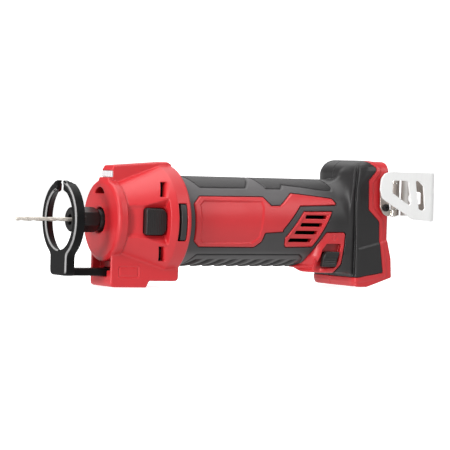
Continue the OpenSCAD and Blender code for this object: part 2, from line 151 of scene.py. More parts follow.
def revolve(g, pts, zc=H, yc=0.0, step=0.2):
    """Field of a body turned about X; pts are (x, r)."""
    R = np.sqrt((g.Y - yc) ** 2 + (g.Z - zc) ** 2)[0]
    rt = np.arange(0, float(R.max()) + 2 * step, step, dtype=np.float32)
    sym = np.array([(p[0], p[1]) for p in pts])
    T = poly(g.X[:, :, 0], rt[None, :], sym).astype(np.float32)
    f = R / step
    i0 = np.minimum(f.astype(np.int32), len(rt) - 2)
    w = (f - i0).astype(np.float32)
    return T[:, i0] * (1 - w) + T[:, i0 + 1] * w


def cyl(P, Q, p, q, r):
    return np.sqrt((P - p) ** 2 + (Q - q) ** 2) - r


def ramp(v, lo, hi):
    t = np.clip((v - lo) / (hi - lo), 0, 1)
    return t * t * (3 - 2 * t)


# ---------------------------------------------------------------- meshing


def sample(F, g, p):
    q = (p - g.lo) / g.h
    q = np.clip(q, 0, np.array(F.shape) - 1.001)
    i = q.astype(np.int32)
    w = (q - i).astype(np.float32)
    x, y, z = i[:, 0], i[:, 1], i[:, 2]
    u, v, t = w[:, 0], w[:, 1], w[:, 2]
    c00 = F[x, y, z] * (1 - u) + F[x + 1, y, z] * u
    c10 = F[x, y + 1, z] * (1 - u) + F[x + 1, y + 1, z] * u
    c01 = F[x, y, z + 1] * (1 - u) + F[x + 1, y, z + 1] * u
    c11 = F[x, y + 1, z + 1] * (1 - u) + F[x + 1, y + 1, z + 1] * u
    return (c00 * (1 - v) + c10 * v) * (1 - t) + (c01 * (1 - v) + c11 * v) * t


def gradient(F, g, p, e=0.6):
    d = g.h * e
    out = np.empty((len(p), 3), np.float32)
    for k in range(3):
        s = np.zeros(3)
        s[k] = d
        out[:, k] = sample(F, g, p + s) - sample(F, g, p - s)
    n = np.linalg.norm(out, axis=1, keepdims=True)
    return out / np.maximum(n, 1e-9), n[:, 0] / (2 * d)


def nets(F, g):
    """Dual surface of the zero level: one point per crossed cell, one quad per crossed edge."""
    nx, ny, nz = F.shape
    S = F < 0
    cnt = np.zeros((nx - 1, ny - 1, nz - 1), np.int8)
    for a in (0, 1):
        for b in (0, 1):
            for c in (0, 1):
                cnt += S[a:nx - 1 + a, b:ny - 1 + b, c:nz - 1 + c]
    act = (cnt > 0) & (cnt < 8)
    idx = np.full(act.shape, -1, np.int32)
    cells = np.argwhere(act)
    idx[act] = np.arange(len(cells), dtype=np.int32)
    corner = {}
    for a in (0, 1):
        for b in (0, 1):
            for c in (0, 1):
                corner[a, b, c] = F[cells[:, 0] + a, cells[:, 1] + b, cells[:, 2] + c]
    acc = np.zeros((len(cells), 3), np.float32)
    num = np.zeros(len(cells), np.float32)
    for axis in range(3):
        for b in (0, 1):
            for c in (0, 1):
                k0 = [b, c]
                k0.insert(axis, 0)
                k1 = list(k0)
                k1[axis] = 1
                f0, f1 = corner[tuple(k0)], corner[tuple(k1)]
                hit = (f0 < 0) != (f1 < 0)
                t = np.where(hit, f0 / np.where(f0 == f1, 1, f0 - f1), 0)
                pos = np.array(k0, np.float32)[None, :].repeat(len(cells), 0)
                pos[:, axis] = t
                acc += pos * hit[:, None]
                num += hit
    v = g.lo + (cells + acc / num[:, None]) * g.h
    quads = []
    for axis in range(3):
        lo = [slice(1, -1)] * 3
        hi = [slice(1, -1)] * 3
        lo[axis] = slice(0, -1)
        hi[axis] = slice(1, None)
        s0, s1 = S[tuple(lo)], S[tuple(hi)]
        for flip in (False, True):
            e = np.argwhere((s0 & ~s1) if not flip else (~s0 & s1))
            if not len(e):
                continue
            base = e.copy()
            other = [k for k in range(3) if k != axis]
            for k in other:
                base[:, k] += 1
            ring = []
            for du, dv in ((-1, -1), (0, -1), (0, 0), (-1, 0)):
                c = base.copy()
                c[:, other[0]] += du
                c[:, other[1]] += dv
                ring.append(idx[c[:, 0], c[:, 1], c[:, 2]])
            q = np.stack(ring, 1)
            turn = (axis == 1) != flip
            quads.append(q[:, ::-1] if turn else q)
    return v, np.concatenate(quads)


def field_object(name, F, g, mat, keep=None, attr=None, refine=3):
    """Mesh object of F < 0, points drawn onto the surface, normals from the field."""
    F = np.ascontiguousarray(F.astype(np.float32))
    # closes the solid at the grid's own walls
    for k in range(3):
        for s in (0, -1):
            sl = [slice(None)] * 3
            sl[k] = s
            F[tuple(sl)] = np.maximum(F[tuple(sl)], g.h * 0.5)
    v, q = nets(F, g)
    for _ in range(refine):
        n, m = gradient(F, g, v)
        step = sample(F, g, v) / np.maximum(m, 0.5)
        v = v - n * np.clip(step, -0.5 * g.h, 0.5 * g.h)[:, None]
    me = bpy.data.meshes.new(name)
    me.vertices.add(len(v))
    me.vertices.foreach_set("co", (v * 0.001).astype(np.float32).ravel())
    me.loops.add(q.size)
    me.loops.foreach_set("vertex_index", q.astype(np.int32).ravel())
    me.polygons.add(len(q))
    me.polygons.foreach_set("loop_start", np.arange(0, q.size, 4, dtype=np.int32))
    me.polygons.foreach_set("loop_total", np.full(len(q), 4, np.int32))
    me.update(calc_edges=True)
    me.validate()
    ob = bpy.data.objects.new(name, me)
    bpy.context.scene.collection.objects.link(ob)
    if keep and keep < 1:
        md = ob.modifiers.new("d", "DECIMATE")
        md.ratio = keep
        dg = bpy.context.evaluated_depsgraph_get()
        new = bpy.data.meshes.new_from_object(ob.evaluated_get(dg))
        ob.modifiers.clear()
        ob.data = new
        bpy.data.meshes.remove(me)
        me = new
        me.name = name
        co = np.empty(len(me.vertices) * 3, np.float32)
        me.vertices.foreach_get("co", co)
        v = co.reshape(-1, 3).astype(float) * 1000
    me.polygons.foreach_set("use_smooth", np.ones(len(me.polygons), bool))
    n, m = gradient(F, g, v)
    if attr:
        for an, fn in attr.items():
            a = me.attributes.new(an, "FLOAT", "POINT")
            a.data.foreach_set("value", np.asarray(fn(v), np.float32))
    me.materials.append(mat)
    me.normals_split_custom_set_from_vertices(n.astype(float).tolist())
    print(f"{name}: {len(me.polygons)} faces")
    return ob


def mesh_object(name, verts, faces, mat, smooth=True):
    me = bpy.data.meshes.new(name)
    me.from_pydata([tuple(float(c) * 0.001 for c in p) for p in verts], [], [tuple(int(i) for i in f) for f in faces])
    me.validate()
    me.update()
    if smooth:
        me.polygons.foreach_set("use_smooth", np.ones(len(me.polygons), bool))
    me.materials.append(mat)
    ob = bpy.data.objects.new(name, me)
    bpy.context.scene.collection.objects.link(ob)
    return ob


# ---------------------------------------------------------------- materials


def srgb(r, g, b):
    def lin(c):
        c /= 255.0
        return c / 12.92 if c <= 0.04045 else ((c + 0.055) / 1.055) ** 2.4
    return (lin(r), lin(g), lin(b), 1.0)


def material(name, base, rough=0.45, metal=0.0, spec=0.5, grain=900.0, bump=0.05, vary=0.06, cloud=35.0,
             rough_vary=0.06, streak=None, coat=0.0, attr_pad=False, sheen=0.0, trans=0.0, ior=1.45, painted_edge_highlight=None, fade=None,
             shade=None):
    """Moulded or metal finish: cloudy colour, fine grain in roughness and bump, all from nodes."""
    m = bpy.data.materials.new(name)
    m.use_nodes = True
    nt = m.node_tree
    N, L = nt.nodes, nt.links
    bs = N["Principled BSDF"]
    bs.inputs["Metallic"].default_value = metal
    bs.inputs["Specular IOR Level"].default_value = spec
    bs.inputs["IOR"].default_value = ior
    bs.inputs["Coat Weight"].default_value = coat
    bs.inputs["Sheen Weight"].default_value = sheen
    bs.inputs["Transmission Weight"].default_value = trans
    tc = N.new("ShaderNodeTexCoord")
    src = tc.outputs["Object"]
    if streak:
        mp = N.new("ShaderNodeMapping")
        mp.inputs["Scale"].default_value = streak
        L.new(src, mp.inputs["Vector"])
        fine_src = mp.outputs["Vector"]
    else:
        fine_src = src
    big = N.new("ShaderNodeTexNoise")
    big.inputs["Scale"].default_value = cloud
    big.inputs["Detail"].default_value = 3.0
    L.new(src, big.inputs["Vector"])
    fine = N.new("ShaderNodeTexNoise")
    fine.inputs["Scale"].default_value = grain
    fine.inputs["Detail"].default_value = 3.0
    fine.inputs["Roughness"].default_value = 0.65
    L.new(fine_src, fine.inputs["Vector"])
    cr = N.new("ShaderNodeValToRGB")
    c = np.array(base[:3])
    cr.color_ramp.elements[0].position = 0.3
    cr.color_ramp.elements[1].position = 0.7
    cr.color_ramp.elements[0].color = (*np.clip(c * (1 - vary), 0, 1), 1)
    cr.color_ramp.elements[1].color = (*np.clip(c * (1 + vary), 0, 1), 1)
    L.new(big.outputs["Fac"], cr.inputs["Fac"])
    col = cr.outputs["Color"]
    mixg = N.new("ShaderNodeMix")
    mixg.data_type = "RGBA"
    mixg.blend_type = "MULTIPLY"
    mixg.inputs["Factor"].default_value = 1.0
    gr = N.new("ShaderNodeValToRGB")
    gr.color_ramp.elements[0].position = 0.25
    gr.color_ramp.elements[1].position = 0.75
    gr.color_ramp.elements[0].color = (1 - vary, 1 - vary, 1 - vary, 1)
    gr.color_ramp.elements[1].color = (1, 1, 1, 1)
    L.new(fine.outputs["Fac"], gr.inputs["Fac"])
    L.new(col, mixg.inputs["A"])
    L.new(gr.outputs["Color"], mixg.inputs["B"])
    col = mixg.outputs["Result"]
    if fade:
        # a second tone further along the part
        sx = N.new("ShaderNodeSeparateXYZ")
        L.new(src, sx.inputs["Vector"])
        fr = N.new("ShaderNodeMapRange")
        fr.interpolation_type = "SMOOTHSTEP"
        fr.inputs["From Min"].default_value = fade[0]
        fr.inputs["From Max"].default_value = fade[1]
        L.new(sx.outputs["X"], fr.inputs["Value"])
        fm = N.new("ShaderNodeMix")
        fm.data_type = "RGBA"
        fm.blend_type = "MULTIPLY"
        L.new(fr.outputs["Result"], fm.inputs["Factor"])
        L.new(col, fm.inputs["A"])
        fm.inputs["B"].default_value = (fade[2], fade[2], fade[2], 1)
        col = fm.outputs["Result"]
    if painted_edge_highlight:
        # painted highlight along edges, marked on the mesh
        wa = N.new("ShaderNodeAttribute")
        wa.attribute_name = "painted_edge_highlight"
        em = N.new("ShaderNodeMix")
        em.data_type = "RGBA"
        L.new(wa.outputs["Fac"], em.inputs["Factor"])
        L.new(col, em.inputs["A"])
        em.inputs["B"].default_value = painted_edge_highlight
        col = em.outputs["Result"]
    if shade:
        # painted shade in recesses, grooves and shaded faces, marked on the mesh
        sa = N.new("ShaderNodeAttribute")
        sa.attribute_name = "painted_shade"
        sm = N.new("ShaderNodeMix")
        sm.data_type = "RGBA"
        sm.blend_type = "MULTIPLY"
        L.new(sa.outputs["Fac"], sm.inputs["Factor"])
        L.new(col, sm.inputs["A"])
        sm.inputs["B"].default_value = (*shade, 1)
        col = sm.outputs["Result"]
    L.new(col, bs.inputs["Base Color"])
    rr = N.new("ShaderNodeMapRange")
    rr.inputs["From Min"].default_value = 0.25
    rr.inputs["From Max"].default_value = 0.75
    rr.inputs["To Min"].default_value = rough - rough_vary
    rr.inputs["To Max"].default_value = rough + rough_vary
    L.new(fine.outputs["Fac"], rr.inputs["Value"])
    if fade:
        # smoother skin where the second tone lies
        f1 = N.new("ShaderNodeMath")
        f1.operation = "MULTIPLY_ADD"
        L.new(fr.outputs["Result"], f1.inputs[0])
        f1.inputs[1].default_value = -fade[3]
        f1.inputs[2].default_value = 1.0
        f2 = N.new("ShaderNodeMath")
        f2.operation = "MULTIPLY"
        L.new(rr.outputs["Result"], f2.inputs[0])
        L.new(f1.outputs["Value"], f2.inputs[1])
        L.new(f2.outputs["Value"], bs.inputs["Roughness"])
    else:
        L.new(rr.outputs["Result"], bs.inputs["Roughness"])
    bp = N.new("ShaderNodeBump")
    bp.inputs["Distance"].default_value = 0.0002
    if attr_pad:
        at = N.new("ShaderNodeAttribute")
        at.attribute_name = "pad"
        dots = N.new("ShaderNodeTexVoronoi")
        dots.inputs["Scale"].default_value = 820.0
        L.new(src, dots.inputs["Vector"])
        mul = N.new("ShaderNodeMath")
        mul.operation = "MULTIPLY"
        L.new(dots.outputs["Distance"], mul.inputs[0])
        L.new(at.outputs["Fac"], mul.inputs[1])
        # textured pads read a little darker
        dk = N.new("ShaderNodeMix")
        dk.data_type = "RGBA"
        dk.blend_type = "MULTIPLY"
        L.new(at.outputs["Fac"], dk.inputs["Factor"])
        L.new(col, dk.inputs["A"])
        dk.inputs["B"].default_value = (0.42, 0.42, 0.42, 1)
        L.new(dk.outputs["Result"], bs.inputs["Base Color"])
        add = N.new("ShaderNodeMath")
        add.operation = "MULTIPLY_ADD"
        L.new(fine.outputs["Fac"], add.inputs[0])
        add.inputs[1].default_value = 0.25
        L.new(mul.outputs["Value"], add.inputs[2])
        L.new(add.outputs["Value"], bp.inputs["Height"])
    else:
        L.new(fine.outputs["Fac"], bp.inputs["Height"])
    bp.inputs["Strength"].default_value = bump
    L.new(bp.outputs["Normal"], bs.inputs["Normal"])
    return m


RED = material("red_plastic", srgb(206, 33, 41), rough=0.42, spec=0.82, grain=1400, bump=0.12, vary=0.05, cloud=22, shade=(0.6, 0.28, 0.3))
RUBBER = material("grip_rubber", srgb(98, 96, 97), rough=0.5, spec=0.42, grain=1700, bump=0.3, vary=0.08, cloud=28, attr_pad=True,
                  fade=(0.135, 0.2, 0.2, 0.3), shade=(0.2, 0.2, 0.2))
BLACK = material("black_plastic", srgb(30, 28, 28), rough=0.42, spec=0.5, grain=1500, bump=0.12, vary=0.08)
GUIDE = material("satin_black_steel", srgb(13, 13, 14), rough=0.42, metal=0.0, spec=0.17, grain=1300, bump=0.1, vary=0.08, painted_edge_highlight=srgb(158, 157, 157))
NUT = material("black_oxide", srgb(25, 23, 23), rough=0.34, spec=0.5, grain=1500, bump=0.12, vary=0.1)
BARS = material("vent_plastic", srgb(52, 50, 50), rough=0.4, spec=0.5, grain=1500, bump=0.12, vary=0.08)
BRIGHT = material("bright_steel", srgb(226, 224, 221), rough=0.22, metal=1.0, grain=700, bump=0.06, vary=0.05, streak=(0.15, 1, 1))
BITM = material("tool_steel", srgb(220, 212, 202), rough=0.3, metal=0.45, grain=900, bump=0.08, vary=0.07)
SHEET = material("brushed_sheet", srgb(247, 247, 246), rough=0.42, metal=0.1, grain=900, bump=0.08, vary=0.03, streak=(1, 1, 0.06), shade=(0.38, 0.34, 0.31))
PLATED = material("plated_steel", srgb(205, 200, 192), rough=0.34, metal=1.0, grain=900, bump=0.06, vary=0.05)
DARK = material("dark_steel", srgb(58, 57, 58), rough=0.4, metal=0.8, grain=1100, bump=0.1, vary=0.1)
LENS = material("clear_fluted_lens", srgb(238, 239, 241), rough=0.16, spec=0.6, grain=600, bump=0.02, vary=0.02, trans=0.2)
BOARD = material("circuit_board", srgb(28, 84, 46), rough=0.4, grain=1200, bump=0.1, vary=0.12)
COPPER = material("copper_wire", srgb(178, 96, 56), rough=0.35, metal=1.0, grain=900, bump=0.1, vary=0.1)
BRASS = material("brass", srgb(198, 160, 92), rough=0.32, metal=1.0, grain=900, bump=0.06, vary=0.07)
CARBON = material("carbon", srgb(38, 38, 40), rough=0.55, grain=1300, bump=0.15, vary=0.12)
MAGNET = material("ferrite", srgb(66, 66, 70), rough=0.5, metal=0.3, grain=1100, bump=0.12, vary=0.1)
LEAD = material("lead_insulation", srgb(150, 24, 26), rough=0.42, grain=1300, bump=0.06, vary=0.07)

SLOT_MAT = {"red_shell": RED, "rubber": RUBBER, "black_plastic": BLACK, "black_steel": GUIDE, "bright_steel": BRIGHT,
            "sheet_steel": PLATED, "dark_steel": DARK, "clear_lens": LENS, "board": BOARD, "copper": COPPER,
            "brass": BRASS, "carbon": CARBON, "magnet": MAGNET, "lead": LEAD}


def put(ob, body, slot, *stand_for):
    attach(ob, body)
    if stand_for:
        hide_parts(*stand_for)
    return ob


# ---------------------------------------------------------------- nose

h_body = 0.45
h_fine = 0.35
h_tiny = 0.22


def make_nose():
    g = Grid((-16.9, -43.9, -1.1), (51.0, 43.9, 97.0), h_body)
    X, Y, Z = g.X, g.Y, g.Z
    z = Z - H
    az = np.abs(z)
    R = np.sqrt(Y * Y + z * z)
    F = revolve(g, fillet(
        [(-15.6, -4), (-15.6, 11), (-14.1, 28.4), (-13.0, 30.4), (-11.4, 31), (-6.3, 31),
         (-5.6, 29.7), (-4.9, 30.35), (26, 41.3), (30, 42.9), (40.4, 43), (42, 41.4), (42, -4)],
        [0, 9, 1.2, 1.2, 1.2, 0.3, 0.3, 0.3, 4, 4, 1.2, 1.0, 0]))
    pod = slab(poly(X, Z, fillet(
        [(-10.2, H + 37.8), (-7.8, H + 41.6), (38, H + 45.3), (41.8, H + 43.2), (41.8, H + 30), (-8, H + 26),
         (-12.8, H + 28), (-12.4, H + 32.4), (-9.3, H + 32.4), (-9.3, H + 37.6)],
        [0.7, 1.6, 4, 1.8, 0.4, 1, 1, 0.9, 0.3, 0.3])), Y, -8.5, 8.5, 1.5)
    F = smin(F, pod, 1.2)
    bu = poly(X, Z, fillet(
        [(-12.6, 0), (16, 0), (18.6, 5), (41.8, 5), (41.8, H - 30), (10, H - 18), (-12.6, H - 18)],
        [3.6, 0.9, 1.0, 3.2, 0.4, 0.4, 0.4])) + 1.3
    bw = np.abs(Y) - (16.8 + (X + 12) * 0.1333 + 1.5 * ramp(Y, 4, 12) * (1 - ramp(X, -6, 14))) + 1.3
    block = np.minimum(np.maximum(bu, bw), 0) + np.sqrt(np.maximum(bu, 0) ** 2 + np.maximum(bw, 0) ** 2) - 1.3
    F = smin(F, block, 1.0)
    neck = np.maximum(np.maximum(R - 29.9, 27.4 - R), np.abs(X - 45.5) - 4.5)
    collar = np.maximum(np.maximum(R - 31.2, 27.4 - R), np.abs(X - 46) - 1)
    F = np.minimum(F, np.minimum(neck, collar))
    # lock pocket: flat floor, sloping side walls, steep rear wall
    p = -Y - (26.8 + 4.2 * ramp(X, -6, 9))
    wall_z = (0.8 * (az - 10.4) - p) / 1.28
    wall_x = X - 24.75
    pocket = smax(smax(-p, wall_z, 1.2), wall_x, 1.2)
    pocket = np.maximum(pocket, -5.2 - X)
    F = smax(F, -pocket, 0.55)
    # hollow behind the bearing seat, a wall left behind every outer face
    cav = revolve(g, [(11, -4), (11, 27), (14, 30), (27, 36.3), (31, 39.6), (39.6, 39.6), (39.6, 27.4), (52, 27.4), (52, -4)])
    cav = np.maximum(cav, -box(X, Y, z, 5, 29.5, -46, -27.5, -13.7, 13.7))
    cav = np.maximum(cav, np.where(X < 39, F + 2.2, -9))
    cav = np.minimum(cav, box(X, Y, z, 6.2, 28.2, -27.5, -21, -12, 12))
    F = np.maximum(F, -cav)
    # spindle opening with a turned lip
    F = smax(F, -revolve(g, [(-18, -4), (-18, 10.6), (-15.3, 10.4), (-14.6, 9.6), (-3.5, 9.6), (-3.5, 8.2), (0.5, 8.2),
                             (0.5, 11.02), (8, 11.02), (8, 21.2), (12, 21.2), (12, -4)]), 0.5)
    # light pocket, guide channel, pad pocket, recess over the arm
    F = smax(F, -box(X, Y, z, -11, -2.8, -7, 7, 32.5, 37.5, 0.3), 0.4)
    F = smax(F, -box(X, Y, Z, -20, 23.6, -9.3, 9.3, 8, 14.2, 0.3), 0.8)
    F = np.maximum(F, -box(X, Y, Z, -9.2, -0.8, -4.2, 4.2, 2, 9))
    F = smax(F, -np.maximum(box(X, Y, Z, -24, -5.5, -14.6, 14.6, 12.6, 27, 1.0), 31.4 - R), 0.8)
    # hole for the lock button
    F = smax(F, -np.maximum(slab(rect(X, z, 6.6, 24.7, -10.35, 10.35, 2.6), Y, -40, -26.5), Y + 20), 0.5)
    # air slots with a lit rear chamfer, windows for the bars
    xs = X - (18.6 + 0.34 * (az - 18.6))
    slot = slab(rect(xs, az, 0, 4.0, 18.6, 29.8, 0.5), np.abs(Y), 17, 48)
    F = smax(F, -slot, 0.4)
    cham = np.maximum(np.maximum((38.9 + 0.35 * (X - 20) - 1.1 + 0.8 * (xs - 3.8)) - R, np.abs(az - 24.2) - 5.6), 3.0 - xs)
    cham = np.maximum(cham, 17 - np.abs(Y))
    F = smax(F, -cham, 0.5)
    win = slab(rect(X, z, 31.0, 38.3, -14.2, 14.2, 0.9), np.abs(Y), 33, 50)
    F = smax(F, -win, 0.6)
    # half moon air outlet in the disc
    moon = smax(np.sqrt((Y - 2.2) ** 2 + (z - 15.6) ** 2) - 9.3, 20.0 - z, 0.6)
    F = smax(F, -np.maximum(moon, X - 12), 0.7)
    # bare framed place on the side of the block
    fr = rect(X, z, -6.0, 9.2, -42.4, -35.0, 0.8)
    F = F + (0.5 * np.exp(-(fr / 0.5) ** 2) - 0.15 * np.exp(-((fr - 1.1) / 0.5) ** 2)) * (Y < -16.2)

    def painted_shade(v):
        # painted shade inside the half moon outlet
        m = np.maximum(np.sqrt((v[:, 1] - 2.2) ** 2 + (v[:, 2] - H - 15.6) ** 2) - 9.3, 20.0 - v[:, 2] + H)
        return ramp(v[:, 0], -14.2, -12.6) * (m < 0.6) * (v[:, 0] < 13)

    ob = field_object("nose_shell", F, g, RED, keep=0.5, attr={"painted_shade": painted_shade})
    return put(ob, "housing", "red_shell", "nose_housing")


make_nose()


# ---------------------------------------------------------------- grip, dock, rubber

PANEL = fillet([[55.5, 70.3], [112, 70.7], [117.7, 64], [126, 64.2], [138.6, 74], [167, 71.3], [175, 70.5], [177.9, 66.5],
                [177, 65.5], [144, 64.2], [127.7, 45.6], [128, 44], [111.7, 43], [109.7, 36], [104.4, 31.8],
                [55.5, 31.8], [49.8, 36.4], [49.1, 64.5]],
               [1, 1, 1, 1, 0.8, 2, 0.8, 0.4, 0.5, 1, 1, 1, 1, 1, 1, 1, 1, 1], 3)
RECESS = fillet([[58, 67.9], [110.5, 68.1], [111.2, 63], [107.4, 38.6], [101.6, 34.2], [57.8, 33.6], [54.2, 37], [53.8, 64.4]], 0.8, 3)
GRILLE = fillet([[146.6, 60], [173.2, 60.4], [157.2, 32.5], [133.1, 32], [131.2, 34.2], [130.3, 39.2]], 0.9, 3)
FAIR = fillet([[150.3, 4], [150.6, 12], [152.4, 15.2], [156.6, 18.3], [157.3, 25], [161.5, 34.5], [167.6, 44], [184, 44.2],
               [185.6, 42.7], [185.1, 33.6], [182.5, 19.2], [176.4, 13], [174, 4]],
              [0, 1, 2, 2, 4, 6, 1.5, 1.2, 1.2, 4, 5, 4, 0], 4)
WINDOW = fillet([[168.7, 35], [180.8, 35], [182.1, 34], [179.5, 21.7], [176.3, 16], [161.4, 15.6], [165.1, 30]],
                [0.8, 0.6, 0.6, 4, 3, 0.8, 4], 4)
COVER = fillet([[20, 8.6], [20, 110], [203, 110], [204, 102.4], [212.4, 95.5], [211.5, 93], [204.7, 85.7], [205.3, 62.6],
                [215.5, 53.3], [216, 38.7], [219.8, 12.5], [196, 8.6]], [0, 0, 0, 1, 2, 1.2, 1.5, 1.5, 2, 6, 1.2, 3], 4)
FOOT = fillet([[20, 0], [205, 0], [229.6, 8], [228.6, 24], [224.6, 39], [224.6, 102.5], [20, 102.5]], [0, 2, 2.2, 8, 8, 2.5, 0], 4)
PAD1 = fillet([[51.5, H + 37], [53, H + 33.6], [59, H + 26.4], [99.5, H + 26.8], [108.4, H + 34.7], [111, H + 37]], 1.0, 3)
PAD2 = fillet([[111, H + 37], [113, H + 35], [118, H + 26.6], [131.3, H + 26.6], [134.6, H + 29.9], [150.4, H + 28.6],
               [167, H + 26.6], [177.4, H + 26.3], [178.6, H + 28], [176.5, H + 37]], [1, 1, 1, 1, 1, 1, 1, 1, 2, 1], 3)
RIBS = fillet([[49.5, H - 37], [51, H - 33.2], [56.4, H - 24.7], [149.2, H - 24.4], [153.2, H - 26.7], [155.8, H - 33], [156.4, H - 37]],
              [1, 1, 1.5, 1.5, 2, 2, 1], 3)
SCREWS = [(120, H + 23), (120, H - 23), (158, H + 23), (188, H + 24), (201.6, 91), (201.6, 13)]


def make_side(side):
    near = side < 0
    h = h_body
    g = Grid((41.3, -38.1 if near else -1.0, -1.1), (230.6, 1.0 if near else 38.1, 103.8), h)
    X, Y, Z = g.X, g.Y, g.Z
    z = Z - H
    aY = np.abs(Y)
    R = np.sqrt(Y * Y + z * z)
    ycyl = np.sqrt(np.maximum(35.0 ** 2 - z * z, 0))
    xb = np.interp((Z - 0.0)[0, 0], [4, 12, 15.2, 18.3, 25, 34.5, 44, 52], [150.3, 150.6, 152.4, 156.6, 157.3, 161.5, 167.6, 172]).astype(np.float32)[None, None, :]
    # flat sided skirt under the rear of the grip, growing out of the round grip
    skirt = smax(aY - 34, xb + (aY - ycyl) / 2.6 - X, 8.0)
    skirt = smax(skirt, 12.0 + 3.6 * ramp(Y, -14, -1) - Z, 3.0)
    skirt = smax(skirt, (153.0 - X + (Z - 15.2) * -1.2) * 0.64, 2.0)
    skirt = smax(skirt, Z - 46.0, 3.0)
    B = smin(R - 35, skirt, 1.2) if near else R - 35 + 0 * X
    # dock: front plane blended into the grip, then its side, crown and foot outlines
    if near:
        # a saddle that grows towards the top
        B = smin(B, 193.0 - X, 3.0 + 15 * ramp(z, -16, 34) * ramp(-Y, 1, 18))
    else:
        B = smin(B, rect(X, Y, 193.0, 260.0, -120.0, 37.5, 27.0 - 8 * ramp(11.0 - Z, 0, 2.5)), 3.0)
    yz = fillet([[-37.5, 0], [37.5, 0], [37.5, 102.5], [-37.5, 102.5]], [1.4, 1.4, 13, 13], 6)
    inset = 0.8 * ramp(Z - (31.5 + 0.24 * (X - 196)), -1.2, 0.9) * ramp(X, 190, 199)
    dR = poly(Y, Z, yz) + inset
    kx = 0.5 + (3.5 + 11.0 * ramp(z, 28, 46)) * ramp(X, 176, 194)
    B = smax(B, dR, kx)
    if near:
        # upright crease beside the corner
        t = ((X - 192.9) - (Y + 35.2)) * 0.7071
        B = B + (1.25 * np.exp(-(t / 1.15) ** 2) - 0.3 * np.exp(-((t + 2.6) / 1.2) ** 2)) * ramp(X, 184, 188) * ramp(-Y, 24, 28) * ramp(99.0 - Z, 0, 8) * (0.2 + 0.8 * ramp(Z, 9, 13))
    B = smax(B, poly(X, Z, FOOT), 1.4)
    B = smax(B, 42.4 - X, 0.8)

    d_panel = poly(X, Z, PANEL)
    d_grille = poly(X, Z, GRILLE)
    d_fair = poly(X, Z, FAIR) if near else 99.0 + 0 * (X + Z)
    d_cover = poly(X, Z, COVER)
    frame_zone = -d_cover
    # height of the red surfaces against the rubber
    d_rec = poly(X, Z, RECESS)
    off = np.zeros_like(d_panel) + 0.1
    off = np.where(d_panel < 0.6, -0.45 + 1.5 * (1 - 0.6 * ramp(X, 90, 112)) * (1 - ramp(d_rec, -1.9, 0)), off)
    off = np.where(d_grille < 0.6, -0.3 + 0.55 * (1 - ramp(d_grille, -2.6, -1.6)), off)
    rim = poly(X, Z, WINDOW)
    if near:
        off = np.where(d_fair < 0.6, 0.05 + 0.1 * (1 - ramp(rim, 0.9, 2.0)), off)
        ring = np.abs(np.sqrt((X - 175.7) ** 2 + (Z - 40.1) ** 2) - 1.9)
        off = off + 0.4 * np.exp(-(ring / 0.6) ** 2)
    else:
        off = np.where(d_fair < 0.6, 0.05, off)
    off = np.where(frame_zone < 0.6, 0.35 + 0.5 * ramp(frame_zone, -3.6, -3.0) * 0 + 0.45 * (1 - ramp(frame_zone, -4.6, -3.4)), off)
    red_zone = np.minimum(np.minimum(d_panel, d_grille), np.minimum(d_fair, frame_zone))
    # edges of each red field are rounded over
    edge = 0.9 * (1 - ramp(-red_zone, 0.0, 1.1)) ** 2 * (frame_zone > 0.6)
    S = smax(B + off + edge, red_zone, 0.5)
    S = np.minimum(S, B + 2.4)
    # parting line
    S = S + 0.35 * np.exp(-(Y / 0.35) ** 2)

    # inside: wall, neck groove, dock floor, channel with two lips, terminal window
    cav = np.maximum(np.maximum(B + 5.0, X - 206.4), 3 - Z)
    cav = np.minimum(cav, np.maximum(R - 31.5, np.abs(X - 46.05) - 1.25))
    cav = np.minimum(cav, np.maximum(R - 30.2, X - 60))
    S = np.maximum(S, -cav)
    post = None
    for sx, sz in SCREWS:
        c = np.sqrt((X - sx) ** 2 + (Z - sz) ** 2) - 3.5
        post = c if post is None else np.minimum(post, c)
    S = np.minimum(S, np.maximum(np.maximum(post, B + 3.0), X - 206))
    chan = box(X, Y, Z, 209, 245, -29, 29, -12, 92, 0.6)
    lip = box(X, aY, Z, 216.5, 220.5, 24.5, 32, 2, 88, 0.5)
    chan = smax(chan, -lip, 0.4)
    S = smax(S, -chan, 0.8)
    S = smax(S, -box(X, Y, Z, 199, 216, -13.2, 13.2, 61.8, 82.2, 0.4), 0.4)
    slots = None
    for i in range(4):
        q = [[133.6 + 4.6 * i, 36.2 + 6.1 * i], [154 + 4.2 * i, 36.2 + 6.1 * i], [155.4 + 4.2 * i, 39 + 6.1 * i], [134.9 + 4.6 * i, 39 + 6.1 * i]]
        d = poly(X, Z, fillet(q, 0.5, 2))
        slots = d if slots is None else np.minimum(slots, d)
    S = smax(S, -np.maximum(slots, 20 - aY), 0.5)
    if near:
        floor = np.maximum(np.abs(Y + 29.2) - 0.8, rim - 3.0)
        S = smax(S, -np.maximum(rim, Y + 27.5), 0.5)
        S = np.minimum(S, floor)
        S = np.maximum(S, -np.maximum(rect(X, Z, 166.5, 174.8, 20.8, 28.6, 0.5), np.abs(Y + 30) - 4))
        for sz in (64.4, 83):
            S = np.maximum(S, -np.maximum(np.sqrt((X - 219.1) ** 2 + (Z - sz) ** 2) - 1.62, Y + 28.4))
    else:
        hole = None
        for sx, sz in SCREWS:
            c = np.sqrt((X - sx) ** 2 + (Z - sz) ** 2)
            w = np.maximum(c - 3.1, 17.8 - Y)
            w = np.minimum(w, np.maximum(c - 1.52, -16 - Y))
            hole = w if hole is None else np.minimum(hole, w)
        S = np.maximum(S, -hole)
    if near:
        for sx, sz in SCREWS:
            S = np.maximum(S, -np.maximum(np.sqrt((X - sx) ** 2 + (Z - sz) ** 2) - 1.52, -16 - Y))
    S = np.maximum(S, (Y + 0.0) if near else (0.04 - Y))
    tag = "near" if near else "far"
